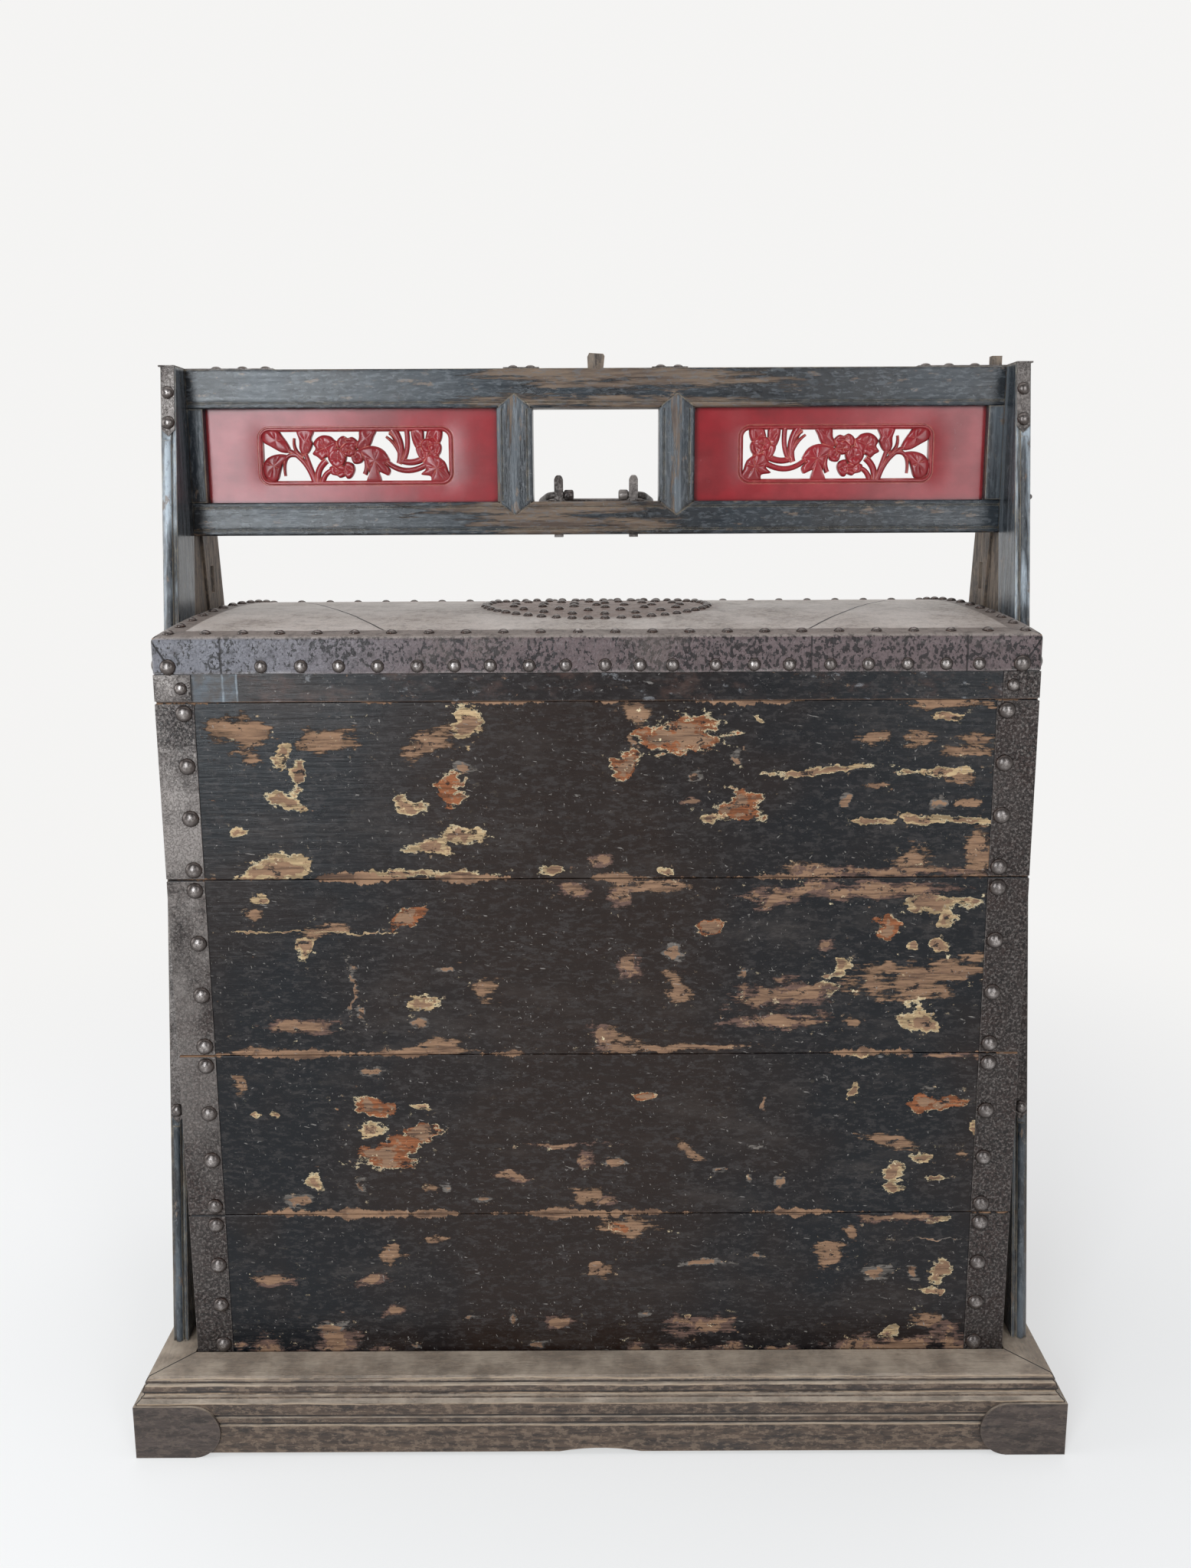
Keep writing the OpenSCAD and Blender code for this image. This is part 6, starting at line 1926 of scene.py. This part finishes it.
T, O, P, B, G = Tone.TAN, Tone.ORANGE, Tone.PALE, Tone.BROWN, Tone.GREY
FRONT_FLAKES = {
    "top": flakes(
        (-356, 766, 28, 18, T), (-340, 738, 10, 6, T), (-267, 758, 34, 14, T), (-312, 741, 8, 11, P),
        (-298, 721, 8, 14, P), (-308, 694, 18, 9, P, -20), (-165, 754, 29, 14, T, 25),
        (-131, 774, 14, 20, P), (-147, 706, 13, 20, O), (-132, 727, 12, 6, G), (-187, 691, 12, 9, P),
        (-165, 646, 26, 9, P), (-132, 658, 23, 12, P), (-360, 664, 8, 6, P), (-323, 625, 36, 13, P),
        (-182, 619, 70, 4, P), (-46, 622, 13, 5, P), (-4, 630, 8, 5, B), (82, 761, 39, 20, O, 4),
        (33, 755, 8, 6, T), (35, 782, 16, 9, T), (30, 732, 12, 17, O, -35), (143, 688, 25, 16, O, -5),
        (115, 677, 14, 5, P), (91, 691, 10, 4, B), (98, 718, 7, 8, G), (135, 737, 6, 6, G),
        (160, 774, 7, 3, P, -20), (275, 758, 15, 6, T), (320, 758, 17, 9, T), (363, 742, 20, 8, T),
        (372, 758, 15, 9, T, 10), (344, 777, 13, 4, P), (350, 790, 45, 4, T), (225, 724, 57, 4, P, 5),
        (335, 722, 39, 4, P), (360, 714, 12, 6, T), (276, 708, 13, 4, T), (372, 690, 15, 4, T),
        (275, 671, 22, 3, P, 4), (323, 674, 20, 5, P), (362, 672, 28, 4, P, -6), (335, 691, 5, 13, G, -30),
        (251, 690, 5, 9, G, 20), (381, 640, 16, 26, T), (317, 632, 21, 14, T), (285, 619, 105, 5, B),
        (212, 621, 28, 6, T), (71, 620, 12, 4, P), (6, 632, 13, 6, B)),
    "upper": flakes(
        (-342, 593, 9, 6, P), (-345, 574, 10, 8, T), (-193, 574, 20, 10, O, 28), (-276, 559, 27, 7, T, 12),
        (-298, 539, 9, 13, P), (-298, 557, 87, 1, P), (-115, 494, 18, 13, T, -25), (-182, 479, 14, 10, P),
        (-182, 457, 9, 7, G), (-30, 603, 16, 10, B), (0, 444, 14, 13, B), (-303, 456, 42, 9, B),
        (-354, 428, 28, 5, T), (-159, 433, 20, 11, T), (-179, 428, 56, 5, T), (-251, 495, 3, 40, G),
        (-242, 470, 4, 15, G), (-159, 517, 10, 2, G), (56, 606, 44, 6, T), (20, 591, 15, 11, B),
        (114, 561, 14, 8, O), (262, 600, 110, 11, B), (187, 592, 30, 10, B), (345, 585, 36, 9, P),
        (353, 569, 9, 12, P), (292, 560, 14, 10, O), (317, 538, 6, 4, P), (348, 539, 11, 11, P),
        (318, 504, 68, 20, T, 5), (365, 513, 25, 15, T), (296, 519, 9, 12, T), (249, 518, 10, 8, P),
        (195, 489, 52, 17, B, 8), (187, 460, 52, 9, B), (234, 497, 12, 12, P), (331, 461, 18, 16, P),
        (33, 519, 14, 13, B), (83, 497, 14, 15, T), (147, 512, 6, 5, G), (12, 441, 28, 11, T),
        (90, 431, 78, 4, T), (260, 458, 11, 7, T), (232, 541, 10, 7, B), (78, 536, 8, 12, G)),
    "lower": flakes(
        (-238, 365, 24, 11, O), (-235, 341, 17, 9, P), (-184, 336, 21, 10, O, 10),
        (-222, 314, 36, 16, O, 20), (-190, 367, 12, 4, P), (-302, 280, 10, 10, P), (-248, 278, 7, 8, G),
        (-182, 273, 9, 5, T), (-166, 273, 7, 6, G), (-123, 263, 10, 4, G), (-94, 289, 17, 7, B),
        (-9, 265, 20, 10, T), (-14, 309, 8, 12, B), (-30, 323, 40, 3, B), (-375, 394, 6, 13, T),
        (-354, 357, 5, 4, P), (-335, 358, 5, 4, P), (-322, 260, 13, 9, G), (-232, 406, 20, 5, G),
        (46, 378, 7, 5, O), (357, 369, 30, 8, O, 10), (339, 371, 9, 11, O), (298, 327, 31, 8, T, -15),
        (310, 289, 14, 11, P), (306, 276, 11, 5, P), (339, 309, 8, 5, P), (349, 283, 15, 4, P),
        (98, 317, 17, 5, T, -35), (126, 295, 7, 5, G), (166, 320, 10, 3, G), (189, 281, 8, 6, G),
        (158, 285, 6, 5, G), (262, 382, 5, 8, P), (13, 304, 14, 5, G), (6, 260, 14, 7, B),
        (171, 370, 4, 7, G), (394, 337, 4, 8, P), (382, 311, 7, 5, T), (342, 385, 7, 8, G),
        (269, 423, 16, 2, P), (362, 422, 30, 3, B)),
    "bottom": flakes(
        (-223, 196, 14, 11, T), (-177, 215, 9, 5, T), (-348, 168, 22, 10, B), (-243, 168, 19, 7, B),
        (-222, 132, 14, 6, B), (-361, 85, 27, 17, B), (-327, 77, 30, 10, B), (-282, 95, 23, 23, B),
        (-237, 78, 27, 10, B), (-282, 113, 19, 6, G), (-138, 124, 9, 3, G), (-97, 122, 4, 13, G, 20),
        (-42, 117, 15, 8, B), (-3, 181, 8, 8, T), (-204, 89, 9, 4, G), (-66, 91, 12, 5, G),
        (31, 228, 31, 12, T), (20, 229, 12, 7, O), (10, 177, 14, 9, T), (110, 185, 30, 4, G),
        (168, 195, 12, 4, G), (245, 194, 17, 17, T), (266, 219, 8, 10, T), (362, 175, 12, 12, P),
        (335, 172, 8, 10, G), (359, 154, 19, 4, P), (351, 119, 18, 11, T), (314, 104, 12, 8, P),
        (318, 85, 75, 17, B), (374, 96, 22, 24, B), (104, 113, 38, 14, B), (98, 124, 6, 6, P),
        (41, 81, 17, 12, B), (77, 78, 18, 11, B), (137, 82, 30, 11, B), (197, 78, 30, 9, B),
        (326, 239, 55, 6, B), (362, 237, 14, 4, P), (350, 214, 35, 1, G), (47, 129, 9, 5, G),
        (293, 173, 15, 8, G)),
}


def base_wood(name: str, run: Run) -> WornWood:
    """Gives the base's wood, with dark lines along its grooves, painted arris highlights and mitre cracks."""
    return WornWood(name, run, mitre_from=(0.4362, 0.2162), grooves=(37.5, 46.5, 62.5, 70.5, 79.5),
                    arrises=(35.2, 61.0, 67.5, 76.8, 83.2))


@dataclass(frozen=True)
class Finishes:
    """The finishes that several parts share."""

    iron: SheetIron = SheetIron("pitted sheet iron")
    nails: NailIron = NailIron("forged nail iron")
    inside: InsideWood = InsideWood("bare inside boards")
    tray_sides: TrayLacquer = TrayLacquer("tray end lacquer", Run.ALONG_Y, chips=0.22)
    tray_back: TrayLacquer = TrayLacquer("tray back lacquer", chips=0.2)
    rail: FrameLacquer = FrameLacquer("rail lacquer", worn_middle=True, rubbed=0.1)
    # The posts and legs get bands of painted sheen.
    post: FrameLacquer = FrameLacquer("post lacquer", Run.ALONG_Z, rubbed=0.16, painted_sheen=0.18)
    leg: FrameLacquer = FrameLacquer("leg lacquer", Run.ALONG_Z, rubbed=0.08, painted_sheen=0.8)
    red: RedLacquer = RedLacquer("red panel lacquer")
    leather: LidLeather = LidLeather("lid hide")
    leg_wood: WornWood = WornWood(
        "rear leg wood", Run.ALONG_Z, wood=shade(126, 112, 98), coat=shade(56, 58, 62))
    base_x: WornWood = base_wood("base wood along", Run.ALONG_X)
    base_y: WornWood = base_wood("base wood across", Run.ALONG_Y)
    feet: WornWood = WornWood(
        "foot block wood", wood=shade(74, 62, 56), coat_cover=0.3, dust=shade(96, 82, 72))


@dataclass
class Tray:
    """One tray of the stack."""

    level: str
    seed: int
    chips: float
    brown_middle: float = 0.9
    lip_h: float = 8.0

    def build(self, frame: dict, finishes: Finishes) -> None:
        """Dresses the tray's boards and irons and sets its nails.

        Args:
            frame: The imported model, as loaded.
            finishes: The shared finishes.
        """
        body = f"{self.level}_tray"
        low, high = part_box(f"{body}_front")
        top = high.z / MM - self.lip_h
        front = TrayLacquer(f"{self.level} tray front lacquer", flakes=FRONT_FLAKES[self.level],
                            chips=self.chips, brown_middle=self.brown_middle, z_low=low.z / MM, z_high=top)
        dressing = {"front": front, "back": finishes.tray_back, "ends": finishes.tray_sides,
                    "floor": finishes.inside, "irons": finishes.iron}
        for part, finish in dressing.items():
            finish.wear(frame["nodes"][f"{body}_{part}"])
        DomeNails(body, body, self.seed, swell=1.28).build(frame, finishes.nails)
        LOG.info("%s dressed", body)


@dataclass
class Lid:
    """The lid with its rims, hide, corner irons and three sets of nails."""

    skirt_x: tuple[float | None, ...] = (
        -418.8, None, -328, -289, -252, -214, -175.5, -139, -104, -66, -30.5, 8, 42, 74, 116, 153.5, 188,
        228, 265, 303, 341, 373, 415)

    def build(self, frame: dict, finishes: Finishes) -> None:
        """Builds the hide and nails and dresses the rest.

        Args:
            frame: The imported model, as loaded.
            finishes: The shared finishes.
        """
        front = RimLacquer("lid rim lacquer", chips=0.16, brown_middle=0.5, bared_past=0.66)
        dressing = {"front_rim": front, "back_rim": finishes.tray_back, "end_rims": finishes.tray_sides,
                    "top_board": finishes.inside, "corner_irons": finishes.iron}
        for part, finish in dressing.items():
            finish.wear(frame["nodes"][f"lid_{part}"])
        LeatherCover().build(finishes.leather)
        for nails in (DomeNails("lid_skirt", "lid", 51, swell=1.2, front_x=self.skirt_x),
                      DomeNails("lid_border", "lid", 52),
                      DomeNails("lid_medallion", "lid", 53, uneven=0.15)):
            nails.build(frame, finishes.nails)
        LOG.info("lid dressed")


@dataclass
class Carrier:
    """The moulded base, the end frames and the carved rail."""

    def build(self, frame: dict, finishes: Finishes) -> None:
        """Dresses the frame's wood and iron and builds the panels.

        Args:
            frame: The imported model, as loaded.
            finishes: The shared finishes.
        """
        dressing: dict[Finish, tuple[str, ...]] = {
            finishes.base_x: ("base_front_rail", "base_back_rail", "base_deck"),
            finishes.feet: ("base_corner_feet",),
            finishes.base_y: ("base_left_rail", "base_right_rail", "deck_bearers"),
            finishes.leg: ("left_front_leg", "right_front_leg"),
            finishes.post: ("end_stiles", "muntins"),
            finishes.leg_wood: ("left_rear_leg", "right_rear_leg", "end_gussets", "top_pegs"),
            finishes.rail: ("top_rail", "lower_rail"),
            finishes.iron: ("leg_top_straps", "low_leg_straps", "rail_top_straps", "eye_pins",
                            "side_staple"),
        }
        for finish, names in dressing.items():
            for name in names:
                finish.wear(frame["nodes"][name])
        DomeNails("frame_strap", "carrier", 61, swell=1.1).build(frame, finishes.nails)
        CarvedPanel("left", -1).build(finishes.red)
        CarvedPanel("right", 1).build(finishes.red)
        Bail().build(finishes.iron)
        LOG.info("carrier dressed")


# Studio


@dataclass(frozen=True)
class Lamp:
    """A soft rectangular lamp, hung at a place and turned to the height that it lights."""

    name: str
    place: Spot
    lit_z: float
    size: Point
    watts: float
    tint: Spot

    def hang(self) -> None:
        """Makes the lamp, out of the camera's sight."""
        data = bpy.data.lights.new(self.name, "AREA")
        data.shape = "RECTANGLE"
        data.size, data.size_y = self.size
        data.energy = self.watts
        data.color = self.tint
        item = placed(self.name, data)
        item.location = self.place
        way = Vector((0.0, 0.0, self.lit_z)) - Vector(self.place)
        item.rotation_euler = way.to_track_quat("-Z", "Y").to_euler()
        item.visible_camera = False


LAMPS = (
    Lamp("left window", (-1.3, -3.0, 1.45), 0.7, (0.9, 2.4), 70.0, (0.88, 0.95, 1.0)),
    Lamp("right window", (1.45, -3.0, 1.5), 0.7, (0.8, 2.2), 28.0, (0.93, 0.97, 1.0)),
    Lamp("side window", (-3.0, -0.4, 1.3), 0.6, (1.6, 1.8), 30.0, (0.97, 0.99, 1.0)),
    Lamp("ceiling", (0.0, 0.3, 3.2), 0.6, (3.0, 2.4), 32.0, (1.0, 1.0, 1.0)),
)


@dataclass
class Studio:
    """A pale floor under soft lamps, and the camera."""

    floor_r: float = 8.0
    floor_thick: float = 20.0
    pale: Colour = (0.91, 0.905, 0.895, 1.0)
    dim: Colour = (0.16, 0.15, 0.15, 1.0)
    camera_at: Spot = (0.0, -1.4029, 0.9795)
    camera_down: float = 80.10
    camera_roll: float = 0.26
    lens: float = 28.14
    shift: Point = (-0.0004, -0.0386)

    def floor(self) -> None:
        """Lays a round floor that fades into the backdrop's tone away from the chest."""
        shape = Shape()
        reach = self.floor_r / MM
        shape.loft([[(reach * math.cos(a), reach * math.sin(a), z) for a in turns(64)]
                    for z in (-self.floor_thick, 0.0)])
        item = shape.piece("studio_floor")
        made = bpy.data.materials.new("studio floor")
        graph = empty_graph(made)
        matt = graph.get("ShaderNodeBsdfDiffuse", {"Color": (0.8, 0.8, 0.79, 1.0)})
        half = graph.get("ShaderNodeBsdfDiffuse", {"Color": (0.45, 0.445, 0.44, 1.0)})
        lift = graph.get("ShaderNodeEmission", {"Color": (0.47, 0.47, 0.465, 1.0)})
        near = graph.get("ShaderNodeAddShader", {0: half, 1: lift})
        glow = graph.get("ShaderNodeEmission", {"Color": self.pale})
        away = graph.step(graph.vector("LENGTH", graph.point(), result=1), 0.6, 1.8)
        shown = graph.get("ShaderNodeMixShader", {0: away, 1: near, 2: glow})
        both = graph.get("ShaderNodeMixShader", {0: self.seen(graph), 1: matt, 2: shown})
        graph.add("ShaderNodeOutputMaterial", {"Surface": both})
        item.data.materials.append(made)

    def seen(self, graph: Graph) -> Socket:
        """Gives 1 for what the camera, a gloss or a glass sees directly."""
        path = graph.add("ShaderNodeLightPath").outputs
        return graph.most(graph.most(path["Is Camera Ray"], path["Is Glossy Ray"]),
                          path["Is Transmission Ray"])

    def world(self) -> None:
        """Lights from all round, with a pale backdrop where the camera looks."""
        world = bpy.data.worlds.new("studio")
        bpy.context.scene.world = world
        graph = empty_graph(world)
        soft = graph.get("ShaderNodeBackground", {"Color": (0.9, 0.93, 1.0, 1.0), "Strength": 0.46})
        way = graph.parts(graph.add("ShaderNodeTexCoord").outputs["Generated"])[1]
        room = graph.mix(graph.step(way, 0.15, -0.55), self.pale, self.dim)
        direct = graph.add("ShaderNodeLightPath").outputs["Is Camera Ray"]
        view = graph.mix(direct, room, self.pale)
        back = graph.get("ShaderNodeBackground", {"Color": view, "Strength": 1.0})
        both = graph.get("ShaderNodeMixShader", {0: self.seen(graph), 1: soft, 2: back})
        graph.add("ShaderNodeOutputWorld", {"Surface": both})

    def camera(self) -> None:
        """Sets the camera where the photograph was taken from."""
        data = bpy.data.cameras.new("photo camera")
        data.lens = self.lens
        data.shift_x, data.shift_y = self.shift
        item = placed("photo camera", data)
        item.location = self.camera_at
        item.rotation_euler = (math.radians(self.camera_down), math.radians(self.camera_roll), 0.0)
        bpy.context.scene.camera = item

    def build(self) -> None:
        """Builds the whole studio."""
        self.floor()
        self.world()
        for lamp in LAMPS:
            lamp.hang()
        bpy.context.scene.view_settings.view_transform = "Standard"
        LOG.info("studio ready")


def corners(bounds: Sequence[Vector]) -> list[list[float]]:
    """Writes a box as plain lists."""
    return [list(map(float, corner)) for corner in bounds]


def main() -> None:
    """Builds the chest, part by part, and its studio."""
    logging.basicConfig(level=logging.INFO, format="%(name)s: %(message)s")
    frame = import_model()
    studio = Studio()
    studio.camera()
    finishes = Finishes()
    Carrier().build(frame, finishes)
    for tray in (Tray("bottom", 41, 0.12), Tray("lower", 42, 0.12),
                 Tray("upper", 43, 0.15), Tray("top", 44, 0.14)):
        tray.build(frame, finishes)
    Lid().build(frame, finishes)
    studio.build()


if __name__ == "__main__":
    main()
